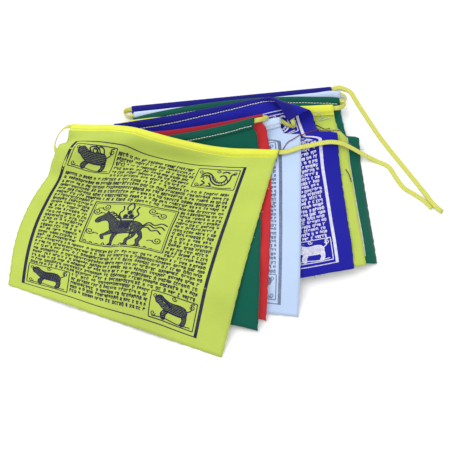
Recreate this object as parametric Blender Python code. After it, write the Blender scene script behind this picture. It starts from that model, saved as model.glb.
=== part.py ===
"""Prayer flag string: ten cotton flags on one flat cord, folded zigzag and fanned out on a surface.

Plan lengths are in millimetres and MM turns them into metres. x runs to the right along the hems,
y to the back and z up. Flag 10 lies on the surface, flag 1 is on top. Odd flags lie face up.
"""

from collections import namedtuple

import bmesh
import bpy
import numpy as np

MM = 0.001
CENTRE = np.array((-31.4, 14.0))  # the plan point below which the origin lies

SHEET = 1.0  # cloth thickness
GAP = 0.3  # between neighbouring solids
DROP = 212.0  # from the cord line to a flag's bottom edge
CORD_WIDE, CORD_THICK = 5.0, 1.0

# The hem's section: s runs down the flag from the cord line, n is the height above its lowest layer.
CHANNEL_ROOM = 0.7  # between the cord and the cloth
HEM_RISE = CORD_THICK + 2 * CHANNEL_ROOM + SHEET  # upper layer over the cord
SEAM_RISE = SHEET + GAP + 0.1  # upper layer along the stitches
NOSE = CORD_WIDE / 2 + SHEET / 2 + CHANNEL_ROOM  # folded edge, past the cord line
FLAT = CORD_WIDE / 2 - 0.1  # the layers run level this far either side of the cord line
STITCH = 4.2
RAW_EDGE = 6.4  # the turned-in edge
HEM_END = 7.0  # the hem is lifted and tilted as one piece down to here

ACROSS = np.array((0, 0.05, 0.12, 0.2, 0.3, 0.4, 0.5, 0.6, 0.7, 0.8, 0.88, 0.95, 1))  # a flag's columns
HEM_SLOPE = 0.33  # a hem climbs no more steeply than this
HEM_TILT = 5.0  # and its height differs by no more than this across it
CREASE_BACK, CREASE_FRONT = 7.0, 32.0  # a crease is steep behind its crest and gentle in front
CREASE_HEIGHT = 11.0
CREASE_FADES, CREASE_FADE = 0.68, 0.17  # it dies out towards the left, as shares of the width

# Heights are worked out on a plan grid of square cells.
CELL = 1.5
GRID_LOW, GRID_HIGH = np.array((-240.0, -160.0)), np.array((240.0, 190.0))
BARE = -0.33  # where nothing lies yet: the surface, less a gap
SAMPLES = 14  # each facet is sampled this finely along its sides

COLOURS = {
    "yellow": (0.62, 0.78, 0.07, 1),
    "green": (0.0, 0.16, 0.09, 1),
    "red": (0.52, 0.02, 0.03, 1),
    "white": (0.62, 0.71, 0.88, 1),
    "blue": (0.03, 0.02, 0.38, 1),
    "cord": (0.73, 0.73, 0.16, 1),
}

# hem and foot: plan ends of the cord line and of the bottom edge, left and right.
# bows: how far the hem rises, and the left and right edges stand out, at their middles.
# notch: sideways step of the right edge across the crease. crease: its distance from the cord line.
Flag = namedtuple(
    "Flag",
    "number colour face_up hem_left hem_right foot_left foot_right hem_bow left_bow right_bow notch crease",
)
FLAGS = (
    Flag(10, "blue", False, (-100, 133), (113, 157), (-78, -56), (133, -33), 0, 0, 0, 0, 0),
    Flag(9, "white", True, (-97, 124), (121, 150), (-74, -58), (137, -34), 0, 0, 0, 0, 0),
    Flag(8, "red", False, (-99, 111), (116, 136), (-72, -61), (136, -38), 0, 0, 0, 0, 0),
    Flag(7, "green", True, (-96, 113), (119, 137), (-65, -70), (148, -40), 10, 0, 0, 11, 52),
    Flag(6, "yellow", False, (-106, 105.5), (112, 127), (-77, -74), (136, -44), 4, 0, 2, 5, 46),
    Flag(5, "blue", True, (-114, 99), (81, 147), (-81, -86), (124, -48), -3, 0, 3, 17, 63),
    Flag(4, "white", False, (-157, 66), (56, 111), (-150, -68), (69, -94), 0, 0, 4, 16, 22),
    Flag(3, "red", True, (-162, 79), (37.5, 111), (-168, -64), (38, -98), -2, 0, 8, 0, 0),
    Flag(2, "green", False, (-165, 74), (28.5, 104.5), (-172, -64), (30, -108), -5, 0, 6, 0, 0),
    Flag(1, "yellow", True, (-156, 97), (53, 75), (-211, -62), (-4, -133), -7, 17, -1, 0, 0),
)

# A corner folded over to the front: the line where the bend starts, its outer side, and its radius.
Fold = namedtuple("Fold", "left right radius")
FOLDS = {5: Fold((31, 133), (87, 113.5), 6.0)}
FOLD_STEPS = 5
BEND_START = 5.0  # over this first stretch of the bend the hem stops standing square to its own slope

# Corners of the flat cord's section, as shares of its half width and half thickness.
CORD_SECTION = ((1, 0), (0.6, 1), (-0.6, 1), (-1, 0), (-0.6, -1), (0.6, -1))
TURN_ROLL = 1.2  # how far the cord turns onto its edge in the middle of a turn
TURN_REACH = 12.0  # how far a turn's curve is drawn out past each channel's end
WIDE_REACH = 0.7  # or this share of the distance between the ends, if that is more
TURN_KEPT = 5  # of its points, these many lie below the upper flag
LOOP_REACH, LOOP_DIP = (14.0, 4.0), 7.0  # round and under the end of a folded corner

CREASED = 7  # this flag's cloth is buckled, and those above it lie over the buckle

# The plan points that the cord's two free ends pass, from the channel's mouth to the tip.
TAIL_FRONT = (
    (76, 79), (106, 83), (132, 79), (161, 70), (172, 60), (177, 46), (187, 38), (201, 27), (208, 19),
)
TAIL_BACK = ((122, 160), (133, 156), (142, 138), (161, 101), (179, 72), (197, 44), (210, 22), (218, 15))
TAIL_SLOPE = 0.6


def unit(vector):
    return vector / np.linalg.norm(vector)


def step(t):
    t = np.clip(t, 0, 1)
    return t * t * (3 - 2 * t)


def plan(flag, u, s):
    """The plan point u of the way along the hem and s down the flag."""
    u, s = np.asarray(u, float)[..., None], np.asarray(s, float)[..., None]
    hem_left, hem_right, foot_left, foot_right = (np.array(p, float) for p in flag[3:7])
    top = hem_left + (hem_right - hem_left) * u
    bottom = foot_left + (foot_right - foot_left) * u
    length = np.linalg.norm(bottom - top, axis=-1, keepdims=True)
    hem_v = HEM_END / length
    v = np.where(s < HEM_END, s / length, hem_v + (s - HEM_END) / (DROP - HEM_END) * (1 - hem_v))
    across = unit(hem_right - hem_left)
    back = np.array((-across[1], across[0]))
    below = np.clip((s - HEM_END) / (DROP - HEM_END), 0, 1)
    left_side, right_side = np.sin(np.pi * below), np.sin(np.pi * np.sqrt(below))
    notch = step((s - flag.crease) / CREASE_BACK + 1) * (DROP - s) / (DROP - flag.crease)
    out = flag.right_bow * u * right_side - flag.left_bow * (1 - u) * left_side
    out = out + flag.notch * u * u * notch
    return top * (1 - v) + bottom * v + across * out + back * flag.hem_bow * 4 * u * (1 - u) * (1 - v)


def nearest(flag, target, u, s):
    """The u and s whose plan point is the target, by Newton's method."""
    du, ds = 1e-3, 0.2
    for _ in range(8):
        here = plan(flag, u, s)
        along, down = (plan(flag, u + du, s) - here) / du, (plan(flag, u, s + ds) - here) / ds
        miss = target - here
        det = along[:, 0] * down[:, 1] - along[:, 1] * down[:, 0]
        u = u + (miss[:, 0] * down[:, 1] - miss[:, 1] * down[:, 0]) / det
        s = s + (along[:, 0] * miss[:, 1] - along[:, 1] * miss[:, 0]) / det
    return np.clip(u, 0, 1), np.clip(s, -NOSE, DROP)


def hem_section(face_up):
    """(s, n) from the raw edge round the cord to where the body starts."""
    lower = [(-FLAT, 0.0)]
    nose = [(-NOSE, HEM_RISE / 2)]
    upper = [(-FLAT, HEM_RISE), (FLAT, HEM_RISE), (STITCH, SEAM_RISE)]
    if face_up:
        return [(RAW_EDGE, 0.0)] + lower + nose + upper + [(HEM_END, SEAM_RISE)]
    return [(RAW_EDGE, SEAM_RISE)] + upper[::-1] + nose + lower + [(HEM_END, 0.0)]


def rows(flag):
    """How far down the flag each row of its body lies, closer together by the hem and the crease."""
    if not flag.crease:
        return HEM_END + (DROP - HEM_END) * np.linspace(0, 1, 11) ** 1.5
    c = flag.crease
    above = np.linspace(HEM_END, c - CREASE_BACK, 5)
    below = np.linspace(c + CREASE_FRONT, DROP, 5)
    return np.concatenate([above, (c, c + CREASE_FRONT * 0.4), below])


def fold_over(flag, point, n):
    """Bends what lies past a folded corner's line up and over; returns plan points and heights."""
    if flag.number not in FOLDS:
        return point, n, np.zeros(len(n))
    fold = FOLDS[flag.number]
    left, along = np.array(fold.left, float), unit(np.subtract(fold.right, fold.left))
    out = np.array((-along[1], along[0]))
    d, r = (point - left) @ out, fold.radius
    angle = np.clip(d / r, 0, np.pi)
    bent = np.where(d > 0, (r - n) * np.sin(angle) - np.maximum(d - np.pi * r, 0), d)
    height = np.where(d > 0, r - (r - n) * np.cos(angle), n)
    return point + (bent - d)[:, None] * out, height, d


def cut_at_fold(mesh, flag):
    """Adds edges across the flat cloth where the folded corner bends."""
    if flag.number not in FOLDS:
        return
    fold = FOLDS[flag.number]
    left, along = np.array(fold.left, float), unit(np.subtract(fold.right, fold.left))
    out = np.array((-along[1], along[0]))
    for k in range(FOLD_STEPS + 1):
        place = left + out * (k * np.pi * fold.radius / FOLD_STEPS)
        bmesh.ops.bisect_plane(
            mesh, geom=mesh.verts[:] + mesh.edges[:] + mesh.faces[:], dist=0.05,
            plane_co=(*place, 0), plane_no=(*out, 0),
        )


def flat_cloth(flag):
    """The flag's cloth before bending: corners (x, y, n), their u and s, and its triangles."""
    section = hem_section(flag.face_up)
    body = rows(flag)[1:]
    if flag.face_up:
        body_n = np.maximum(SEAM_RISE * (1 - (body - HEM_END) / 12), 0)
    else:
        body_n = np.zeros(len(body))
    section = section + list(zip(body, body_n))
    mesh = bmesh.new()
    keep_u, keep_s = (mesh.verts.layers.float.new(name) for name in "us")
    lines = []
    for s, n in section:
        line = []
        for u in ACROSS:
            vert = mesh.verts.new((*plan(flag, u, s), n))
            vert[keep_u], vert[keep_s] = u, s
            line.append(vert)
        lines.append(line)
    for upper, lower in zip(lines, lines[1:]):
        for i in range(len(ACROSS) - 1):
            mesh.faces.new((upper[i], lower[i], lower[i + 1], upper[i + 1]))
    cut_at_fold(mesh, flag)
    bmesh.ops.triangulate(mesh, faces=mesh.faces[:])
    mesh.verts.index_update()
    points = np.array([v.co[:] for v in mesh.verts], float)
    u = np.array([v[keep_u] for v in mesh.verts])
    s = np.array([v[keep_s] for v in mesh.verts])
    triangles = np.array([[v.index for v in face.verts] for face in mesh.faces])
    mesh.free()
    return points, u, s, triangles


def barycentric(count):
    """Even samples over a triangle, as weights of its corners."""
    return np.array(
        [(i, j, count - i - j) for i in range(count + 1) for j in range(count + 1 - i)], float
    ) / count


WEIGHTS = barycentric(SAMPLES)


def grown(field):
    """Each cell takes the highest of its neighbours."""
    padded = np.pad(field, 1, mode="edge")
    h, w = field.shape
    return np.max([padded[i:i + h, j:j + w] for i in range(3) for j in range(3)], axis=0)


def softened(field):
    """A smooth cover over the heap: grown by two cells, then blurred."""
    cover = grown(grown(field))
    for _ in range(3):
        for axis in (0, 1):
            padded = np.pad(cover, [(2, 2) if k == axis else (0, 0) for k in (0, 1)], mode="edge")
            cover = np.mean([np.take(padded, range(k, k + cover.shape[axis]), axis) for k in range(5)], axis=0)
    return cover


def cell_of(point):
    cell = ((point - GRID_LOW) / CELL).astype(int)
    return cell[..., 0], cell[..., 1]


def lay_on(field, samples):
    """Raises the heap's height field to the samples' heights."""
    np.maximum.at(field, cell_of(samples[:, :2]), samples[:, 2])


def facet_samples(points, triangles, extra):
    """Points spread over both sides of the sheet, and extra's columns at the same places."""
    corner = points[triangles]
    normal = np.cross(corner[:, 1] - corner[:, 0], corner[:, 2] - corner[:, 0])
    normal /= np.linalg.norm(normal, axis=1, keepdims=True)
    middle = np.einsum("kc,tcx->tkx", WEIGHTS, corner)
    half = normal[:, None] * SHEET / 2
    sides = np.concatenate([middle + half, middle - half]).reshape(-1, 3)
    carried = np.einsum("kc,tcx->tkx", WEIGHTS, extra[triangles])
    return sides, np.concatenate([carried, carried]).reshape(-1, extra.shape[1])


def around_cord(line, roll):
    """Points over the top of a cord on this line, out to half its width."""
    high = np.hypot(CORD_WIDE / 2 * np.sin(roll), CORD_THICK / 2)
    top = line + np.outer(high, (0, 0, 1))
    dense = np.concatenate([a + (b - a) * np.linspace(0, 1, 9)[:, None] for a, b in zip(top, top[1:])])
    half = CORD_WIDE / 2
    ring = np.array([(x, y, 0) for x in (-half, 0, half) for y in (-half, 0, half)])
    return (dense[:, None] + ring).reshape(-1, 3)


class Lift:
    """The height of one flag's cloth on a grid of its columns and rows; the hem is lifted whole."""

    def __init__(self, flag, heap):
        self.rows = np.concatenate([[-NOSE], rows(flag)])
        self.length = np.linalg.norm(np.subtract(flag.hem_right, flag.hem_left))
        self.values = np.zeros((len(ACROSS), len(self.rows)))
        if flag.number == FLAGS[0].number:
            self.values += SHEET / 2
            return
        u, s = np.meshgrid(ACROSS, self.rows, indexing="ij")
        cover = softened(heap)
        self.values = cover[cell_of(plan(flag, u, s))] + GAP + SHEET / 2
        if flag.number == CREASED:
            behind = (s - flag.crease) / CREASE_BACK + 1
            ahead = 1 - (s - flag.crease) / CREASE_FRONT
            self.values += CREASE_HEIGHT * step(np.minimum(behind, ahead)) * step((u - CREASE_FADES) / CREASE_FADE)

    def weights(self, u, s):
        """The four grid values that a point hangs between, and their shares."""
        column = np.clip(np.interp(u, ACROSS, np.arange(len(ACROSS))), 0, len(ACROSS) - 1 - 1e-6)
        row = np.interp(s, self.rows, np.arange(len(self.rows)))
        row = np.clip(row, 0, len(self.rows) - 1 - 1e-6)
        i, j = column.astype(int), row.astype(int)
        a, b = column - i, row - j
        share = np.stack([(1 - a) * (1 - b), a * (1 - b), (1 - a) * b, a * b])
        return (np.stack([i, i + 1, i, i + 1]), np.stack([j, j, j + 1, j + 1])), share

    def at(self, u, s):
        cells, share = self.weights(u, s)
        return (self.values[cells] * share).sum(axis=0)

    def square_to_hem(self, flag, u):
        """The direction square to the hem's own slope and tilt at each u."""
        half, zero = 0.04, np.zeros(len(u))
        left, right = np.maximum(u - half, 0), np.minimum(u + half, 1)

        def place(at_u, at_s):
            return np.column_stack([plan(flag, at_u, zero + at_s), self.at(at_u, zero + at_s)])

        square = np.cross(place(u, HEM_END) - place(u, -NOSE), place(right, 0) - place(left, 0))
        return square / np.linalg.norm(square, axis=1, keepdims=True)

    def clear(self, heap, held, triangles, u, s):
        """Raises the cloth until every facet is clear of the heap."""
        high = grown(heap)
        for _ in range(80):
            points = held.laid(self)
            samples, us = facet_samples(points, triangles, np.stack([u, s], axis=1))
            short = high[cell_of(samples[:, :2])] + GAP + 0.03 - samples[:, 2]
            if short.max() < 0.03:
                break
            cells, share = self.weights(us[:, 0], us[:, 1])
            rise = np.maximum(short, 0) * share / (share**2).sum(axis=0)
            raised = np.zeros_like(self.values)
            np.maximum.at(raised, cells, rise)
            self.values += raised
            self.stiffen()

    def stiffen(self):
        """Lifts the hem beside its high places, because the cord keeps it from bending sharply."""
        hem = self.values[:, :2]
        for order in (range(1, len(hem)), range(len(hem) - 2, -1, -1)):
            for i in order:
                beside = i - 1 if order.step > 0 else i + 1
                fall = HEM_SLOPE * self.length * abs(ACROSS[i] - ACROSS[beside])
                hem[i] = np.maximum(hem[i], hem[beside] - fall)
                hem[i] = np.maximum(hem[i], hem[i, ::-1] - HEM_TILT)


class Held:
    """Where cloth or cord of a flag goes in plan, how far it stands off, and the lift it follows."""

    def __init__(self, flag, points, u, s):
        self.flag, self.u = flag, u
        self.place, self.off, past = fold_over(flag, points[:, :2], points[:, 2])
        self.over = past > 0
        self.hem = s < HEM_END + 0.01
        self.upright = np.clip(past / BEND_START, 0, 1)[self.hem, None]
        self.held_u, self.held_s = u.copy(), s.copy()
        if self.over.any():
            found = nearest(flag, self.place[self.over], u[self.over], s[self.over])
            self.held_u[self.over], self.held_s[self.over] = found

    def laid(self, lift):
        """The points, with a hem standing square to its own slope so that its channel stays open."""
        points = np.column_stack([self.place, lift.at(self.held_u, self.held_s)])
        away = np.zeros_like(points)
        away[:, 2] = 1
        square = lift.square_to_hem(self.flag, self.u[self.hem])
        away[self.hem] = square + (away[self.hem] - square) * self.upright
        return points + away * self.off[:, None]


def shape_flag(flag, heap):
    """Lays one flag on the heap; returns its points, its triangles and its lift."""
    points, u, s, triangles = flat_cloth(flag)
    held = Held(flag, points, u, s)
    lift = Lift(flag, heap)
    under = triangles[~held.over[triangles].any(axis=1)]
    if flag.number != FLAGS[0].number:
        lift.clear(heap, held, under, u, s)
    points = held.laid(lift)
    samples, _ = facet_samples(points, under, points)
    lay_on(heap, samples)
    return points, triangles, lift


Channel = namedtuple("Channel", "first last second before_last")


def cord_tube(mesh, flag, lift, rightwards):
    """Adds the cord inside a flag's channel to the mesh; returns its rings in running order."""
    tube = bmesh.new()
    keep_u, keep_s = (tube.verts.layers.float.new(name) for name in "us")
    rings = []
    way = 1 if rightwards else -1
    for u in ACROSS[::way]:
        ring = []
        for a, b in CORD_SECTION:
            s = way * a * CORD_WIDE / 2
            n = HEM_RISE / 2 + b * CORD_THICK / 2
            vert = tube.verts.new((*plan(flag, u, s), n))
            vert[keep_u], vert[keep_s] = u, s
            ring.append(vert)
        rings.append(ring)
    join_rings(tube, rings)
    cut_at_fold(tube, flag)
    verts = list(tube.verts)
    points = np.array([v.co[:] for v in verts], float)
    held = Held(flag, points, np.array([v[keep_u] for v in verts]), np.array([v[keep_s] for v in verts]))
    new = {v: mesh.verts.new(tuple(p)) for v, p in zip(verts, held.laid(lift))}
    for face in tube.faces:
        mesh.faces.new([new[v] for v in face.verts])
    channel = Channel(*([new[v] for v in rings[k]] for k in (0, -1, 1, -2)))
    tube.free()
    return channel


def join_rings(mesh, rings):
    for here, ahead in zip(rings, rings[1:]):
        for k in range(len(here)):
            after = (k + 1) % len(here)
            mesh.faces.new((here[k], here[after], ahead[after], ahead[k]))


def middle(ring):
    return np.mean([v.co[:] for v in ring], axis=0)


def matched(ring, to):
    """The ring's corners, started where they lie nearest to the other ring's."""
    turns = [ring[k:] + ring[:k] for k in range(len(ring))]
    return min(turns, key=lambda r: sum((a.co - b.co).length for a, b in zip(r, to)))


def turn(start, start_way, end, end_way, reach, dip, count=7):
    """The cord's turn between two channels: a curve that leaves and enters along them."""
    t = np.linspace(0, 1, count + 2)[1:-1, None]
    a, b = start + start_way * reach[0], end + end_way * reach[1]
    line = (1 - t) ** 3 * start + 3 * (1 - t) ** 2 * t * a + 3 * (1 - t) * t**2 * b + t**3 * end
    roll = np.sin(np.pi * t[:, 0]) * TURN_ROLL
    line[:, 2] = start[2] + (end[2] - start[2]) * step((t[:, 0] - 0.4) / 0.6) - dip * np.sin(np.pi * t[:, 0])
    lowest = CORD_WIDE / 2 * np.sin(roll) + CORD_THICK / 2 * np.cos(roll) + GAP / 2
    line[:, 2] = np.maximum(line[:, 2], lowest)
    return line, roll


def smooth_route(route, spacing):
    """Points about this far apart on a Catmull-Rom curve through the route."""
    p = np.array(route, float)
    p = np.vstack([2 * p[0] - p[1], p, 2 * p[-1] - p[-2]])
    found = [p[1]]
    for a, b, c, d in zip(p, p[1:], p[2:], p[3:]):
        count = max(int(np.linalg.norm(c - b) / spacing), 1)
        for t in np.arange(1, count + 1) / count:
            found.append(
                0.5 * (2 * b + (c - a) * t + (2 * a - 5 * b + 4 * c - d) * t**2
                       + (3 * b - a - 3 * c + d) * t**3)
            )
    return np.array(found)


def tail_line(end, way, route, heap):
    """The middle of a free end that leaves a channel's mouth and lies along a route on the heap."""
    start = [end[:2] + way[:2] * 2 * GAP, end[:2] + way[:2] * CORD_WIDE]
    line = smooth_route([*start, *route], CORD_WIDE)
    height = grown(grown(heap))[cell_of(line)] + GAP + CORD_THICK / 2 + 0.1
    away = np.linalg.norm(line - end[:2], axis=1)
    height = np.where(away < 2 * CORD_WIDE, end[2], height)
    apart = np.linalg.norm(np.diff(line, axis=0), axis=1)
    for i in range(len(line) - 2, -1, -1):
        height[i] = max(height[i], height[i + 1] - TAIL_SLOPE * apart[i])
    for i in range(1, len(line)):
        height[i] = max(height[i], height[i - 1] - TAIL_SLOPE * apart[i - 1])
    return np.column_stack([line, height])


def frame_along(line):
    """The cord's way, its level side and its upper side at each point."""
    way = np.gradient(line, axis=0)
    way /= np.linalg.norm(way, axis=1, keepdims=True)
    side = np.cross(way, (0, 0, 1))
    side /= np.linalg.norm(side, axis=1, keepdims=True)
    return way, side, np.cross(side, way)


def swept_rings(mesh, line, roll):
    """Adds rings of the cord's section along a line, rolled about it by an angle at each point."""
    _, side, over = frame_along(line)
    roll = np.asarray(roll)[:, None]
    side, over = side * np.cos(roll) + over * np.sin(roll), over * np.cos(roll) - side * np.sin(roll)
    corners = [line + side * a * CORD_WIDE / 2 + over * b * CORD_THICK / 2 for a, b in CORD_SECTION]
    return [[mesh.verts.new(tuple(corner[i])) for corner in corners] for i in range(len(line))]


def close_cord(name, mesh, first, last):
    """Closes the cord's two ends and makes its object."""
    mesh.faces.new(first[::-1])
    mesh.faces.new(last)
    for vert in mesh.verts:
        vert.co = to_world(vert.co)
    bmesh.ops.recalc_face_normals(mesh, faces=mesh.faces[:])
    return add_object(name, mesh, "cord")


def to_world(point):
    return (np.array(point, float) - (*CENTRE, 0)) * MM


def material(colour):
    found = bpy.data.materials.get(colour)
    if found is None:
        found = bpy.data.materials.new(colour)
        found.use_nodes = True
        shader = found.node_tree.nodes["Principled BSDF"]
        shader.inputs["Base Color"].default_value = COLOURS[colour]
        shader.inputs["Roughness"].default_value = 0.85
        shader.inputs["Metallic"].default_value = 0
    return found.copy()


def add_object(name, mesh, colour):
    data = bpy.data.meshes.new(name)
    mesh.to_mesh(data)
    mesh.free()
    data.materials.append(material(colour))
    data.shade_smooth()
    obj = bpy.data.objects.new(name, data)
    bpy.context.collection.objects.link(obj)
    return obj


def flag_solid(flag, points, triangles):
    mesh = bmesh.new()
    verts = [mesh.verts.new(tuple(to_world(p))) for p in points]
    for a, b, c in triangles:
        mesh.faces.new((verts[a], verts[b], verts[c]))
    obj = add_object(f"flag_{flag.number:02d}_{flag.colour}", mesh, flag.colour)
    solidify = obj.modifiers.new("thickness", "SOLIDIFY")
    solidify.thickness = SHEET * MM
    solidify.offset = 0
    solidify.use_even_offset = True
    return obj


def leaving(channel):
    """Where the cord leaves a channel, and its way there."""
    end = middle(channel.last)
    return end, unit(end - middle(channel.before_last))


def entering(channel):
    """Where the cord enters a channel, and the way back out of it."""
    end = middle(channel.first)
    return end, unit(end - middle(channel.second))


def turn_to(flag, start, start_way, mouth, mouth_way):
    """The cord's turn from the flag below into this flag's channel."""
    if flag.number + 1 in FOLDS:
        return turn(start, start_way, mouth, mouth_way, LOOP_REACH, LOOP_DIP)
    reach = max(TURN_REACH, WIDE_REACH * np.linalg.norm(mouth[:2] - start[:2]))
    return turn(start, start_way, mouth, mouth_way, (reach, reach), 0)


def keep_room_for_turn(flag, heap, before, rightwards):
    """Lays the first stretch of the coming turn on the heap, so that the flag clears it."""
    start, start_way = leaving(before)
    mouth = np.array((*plan(flag, 0 if rightwards else 1, 0), start[2]))
    out = unit(np.subtract(flag.hem_right, flag.hem_left)) * (-1 if rightwards else 1)
    line, roll = turn_to(flag, start, start_way, mouth, np.array((*out, 0)))
    lay_on(heap, around_cord(line[:TURN_KEPT], roll[:TURN_KEPT]))


def join_channels(mesh, flag, heap, before, channel):
    """Adds the turn from the flag below to this one and lays it on the heap."""
    line, roll = turn_to(flag, *leaving(before), *entering(channel))
    rings = [before.last]
    for ring in [*swept_rings(mesh, line, roll), channel.first]:
        rings.append(matched(ring, rings[-1]))
    join_rings(mesh, rings)
    lay_on(heap, around_cord(line, roll))


def add_tail(name, end, way, route, under):
    """A free end of the cord, lying on what is under it."""
    line = tail_line(end, way, route, under)
    level = np.zeros(len(line))
    mesh = bmesh.new()
    rings = swept_rings(mesh, line, level)
    join_rings(mesh, rings)
    close_cord(name, mesh, rings[0], rings[-1])
    lay_on(under, around_cord(line, level))
    return line


def build():
    for obj in list(bpy.data.objects):
        bpy.data.objects.remove(obj)
    cells = ((GRID_HIGH - GRID_LOW) / CELL).astype(int) + 1
    heap, surface = np.full(cells, BARE), np.full(cells, BARE)
    run, channels = bmesh.new(), []
    for index, flag in enumerate(FLAGS):
        rightwards = index % 2 == 1
        if channels:
            keep_room_for_turn(flag, heap, channels[-1], rightwards)
        points, triangles, lift = shape_flag(flag, heap)
        flag_solid(flag, points, triangles)
        channels.append(cord_tube(run, flag, lift, rightwards))
        if index:
            join_channels(run, flag, heap, channels[-2], channels[-1])
    front, back = leaving(channels[-1]), entering(channels[0])
    close_cord("cord_run", run, channels[0].first, channels[-1].last)
    line = add_tail("cord_tail_front", *front, TAIL_FRONT, heap)
    lay_on(surface, around_cord(line, np.zeros(len(line))))
    add_tail("cord_tail_back", *back, TAIL_BACK, surface)


build()
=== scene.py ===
"""Looks of the prayer flag string: woven cloth, block print, stitched hems, braided cord, loose threads.

Plan lengths are in millimetres, as in the solids, and MM turns them into metres: x runs to the right
along the hems, y to the back, z up. u runs across a flag from left to right, s down it from the cord
line, and n stands off its lowest layer.
"""

import math
import random
from collections import namedtuple

import bmesh
import bpy
import numpy as np
from mathutils import Euler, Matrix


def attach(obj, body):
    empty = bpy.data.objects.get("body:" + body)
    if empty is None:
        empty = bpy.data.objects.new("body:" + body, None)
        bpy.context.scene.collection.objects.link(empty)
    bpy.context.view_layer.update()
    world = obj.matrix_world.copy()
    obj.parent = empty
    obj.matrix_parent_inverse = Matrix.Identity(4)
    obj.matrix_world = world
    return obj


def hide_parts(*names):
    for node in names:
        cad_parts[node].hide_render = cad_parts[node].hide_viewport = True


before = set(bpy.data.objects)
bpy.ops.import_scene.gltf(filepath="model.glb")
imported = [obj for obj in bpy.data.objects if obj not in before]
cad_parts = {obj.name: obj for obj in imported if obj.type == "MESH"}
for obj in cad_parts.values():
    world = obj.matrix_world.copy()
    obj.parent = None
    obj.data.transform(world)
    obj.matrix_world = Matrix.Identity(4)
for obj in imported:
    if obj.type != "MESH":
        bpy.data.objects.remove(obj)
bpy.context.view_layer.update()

# ---------------------------------------------------------------- the solids' sizes and tables

MM = 0.001
CENTRE = np.array((-31.4, 14.0))  # the plan point below which the origin lies

SHEET = 1.0  # the solids' cloth thickness
GAP = 0.3
DROP = 212.0
CORD_WIDE, CORD_THICK = 5.0, 1.0
CHANNEL_ROOM = 0.7
HEM_RISE = CORD_THICK + 2 * CHANNEL_ROOM + SHEET
SEAM_RISE = SHEET + GAP + 0.1
NOSE = CORD_WIDE / 2 + SHEET / 2 + CHANNEL_ROOM
FLAT = CORD_WIDE / 2 - 0.1
STITCH = 4.2
RAW_EDGE = 6.4
HEM_END = 7.0

ACROSS = np.array((0, 0.05, 0.12, 0.2, 0.3, 0.4, 0.5, 0.6, 0.7, 0.8, 0.88, 0.95, 1))  # a flag's columns
HEM_SLOPE = 0.33  # a hem climbs no more steeply than this
HEM_TILT = 5.0  # and its height differs by no more than this across it
CREASE_BACK, CREASE_FRONT = 7.0, 32.0  # a crease is steep behind its crest and gentle in front
CREASE_HEIGHT = 11.0
CREASE_FADES, CREASE_FADE = 0.68, 0.17  # it dies out towards the left, as shares of the width

# Heights are worked out on a plan grid of square cells.
CELL = 1.5
GRID_LOW, GRID_HIGH = np.array((-240.0, -160.0)), np.array((240.0, 190.0))
BARE = -0.33  # where nothing lies yet: the surface, less a gap
SAMPLES = 14  # each facet is sampled this finely along its sides

# hem and foot: plan ends of the cord line and of the bottom edge, left and right.
# bows: how far the hem rises, and the left and right edges stand out, at their middles.
# notch: sideways step of the right edge across the crease. crease: its distance from the cord line.
Flag = namedtuple(
    "Flag",
    "number colour face_up hem_left hem_right foot_left foot_right hem_bow left_bow right_bow notch crease",
)
FLAGS = (
    Flag(10, "blue", False, (-100, 133), (113, 157), (-78, -56), (133, -33), 0, 0, 0, 0, 0),
    Flag(9, "white", True, (-97, 124), (121, 150), (-74, -58), (137, -34), 0, 0, 0, 0, 0),
    Flag(8, "red", False, (-99, 111), (116, 136), (-72, -61), (136, -38), 0, 0, 0, 0, 0),
    Flag(7, "green", True, (-96, 113), (119, 137), (-65, -70), (148, -40), 10, 0, 0, 11, 52),
    Flag(6, "yellow", False, (-106, 105.5), (112, 127), (-77, -74), (136, -44), 4, 0, 2, 5, 46),
    Flag(5, "blue", True, (-114, 99), (81, 147), (-81, -86), (124, -48), -3, 0, 3, 17, 63),
    Flag(4, "white", False, (-157, 66), (56, 111), (-150, -68), (69, -94), 0, 0, 4, 16, 22),
    Flag(3, "red", True, (-162, 79), (37.5, 111), (-168, -64), (38, -98), -2, 0, 8, 0, 0),
    Flag(2, "green", False, (-165, 74), (28.5, 104.5), (-172, -64), (30, -108), -5, 0, 6, 0, 0),
    Flag(1, "yellow", True, (-156, 97), (53, 75), (-211, -62), (-4, -133), -7, 17, -1, 0, 0),
)

# A corner folded over to the front: the line where the bend starts, its outer side, and its radius.
Fold = namedtuple("Fold", "left right radius")
FOLDS = {5: Fold((31, 133), (87, 113.5), 6.0)}
FOLD_STEPS = 5
BEND_START = 5.0  # over this first stretch of the bend the hem stops standing square to its own slope

# Corners of the flat cord's section, as shares of its half width and half thickness.
CORD_SECTION = ((1, 0), (0.6, 1), (-0.6, 1), (-1, 0), (-0.6, -1), (0.6, -1))
TURN_ROLL = 1.2  # how far the cord turns onto its edge in the middle of a turn
TURN_REACH = 12.0  # how far a turn's curve is drawn out past each channel's end
WIDE_REACH = 0.7  # or this share of the distance between the ends, if that is more
TURN_KEPT = 5  # of its points, these many lie below the upper flag
LOOP_REACH, LOOP_DIP = (14.0, 4.0), 7.0  # round and under the end of a folded corner

CREASED = 7  # this flag's cloth is buckled, and those above it lie over the buckle

# The plan points that the cord's two free ends pass, from the channel's mouth to the tip.
TAIL_FRONT = (
    (76, 79), (106, 83), (132, 79), (161, 70), (172, 60), (177, 46), (187, 38), (201, 27), (208, 19),
)
TAIL_BACK = ((122, 160), (133, 156), (142, 138), (161, 101), (179, 72), (197, 44), (210, 22), (218, 15))
TAIL_SLOPE = 0.6


def unit(vector):
    return vector / np.linalg.norm(vector)


def step(t):
    t = np.clip(t, 0, 1)
    return t * t * (3 - 2 * t)


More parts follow.
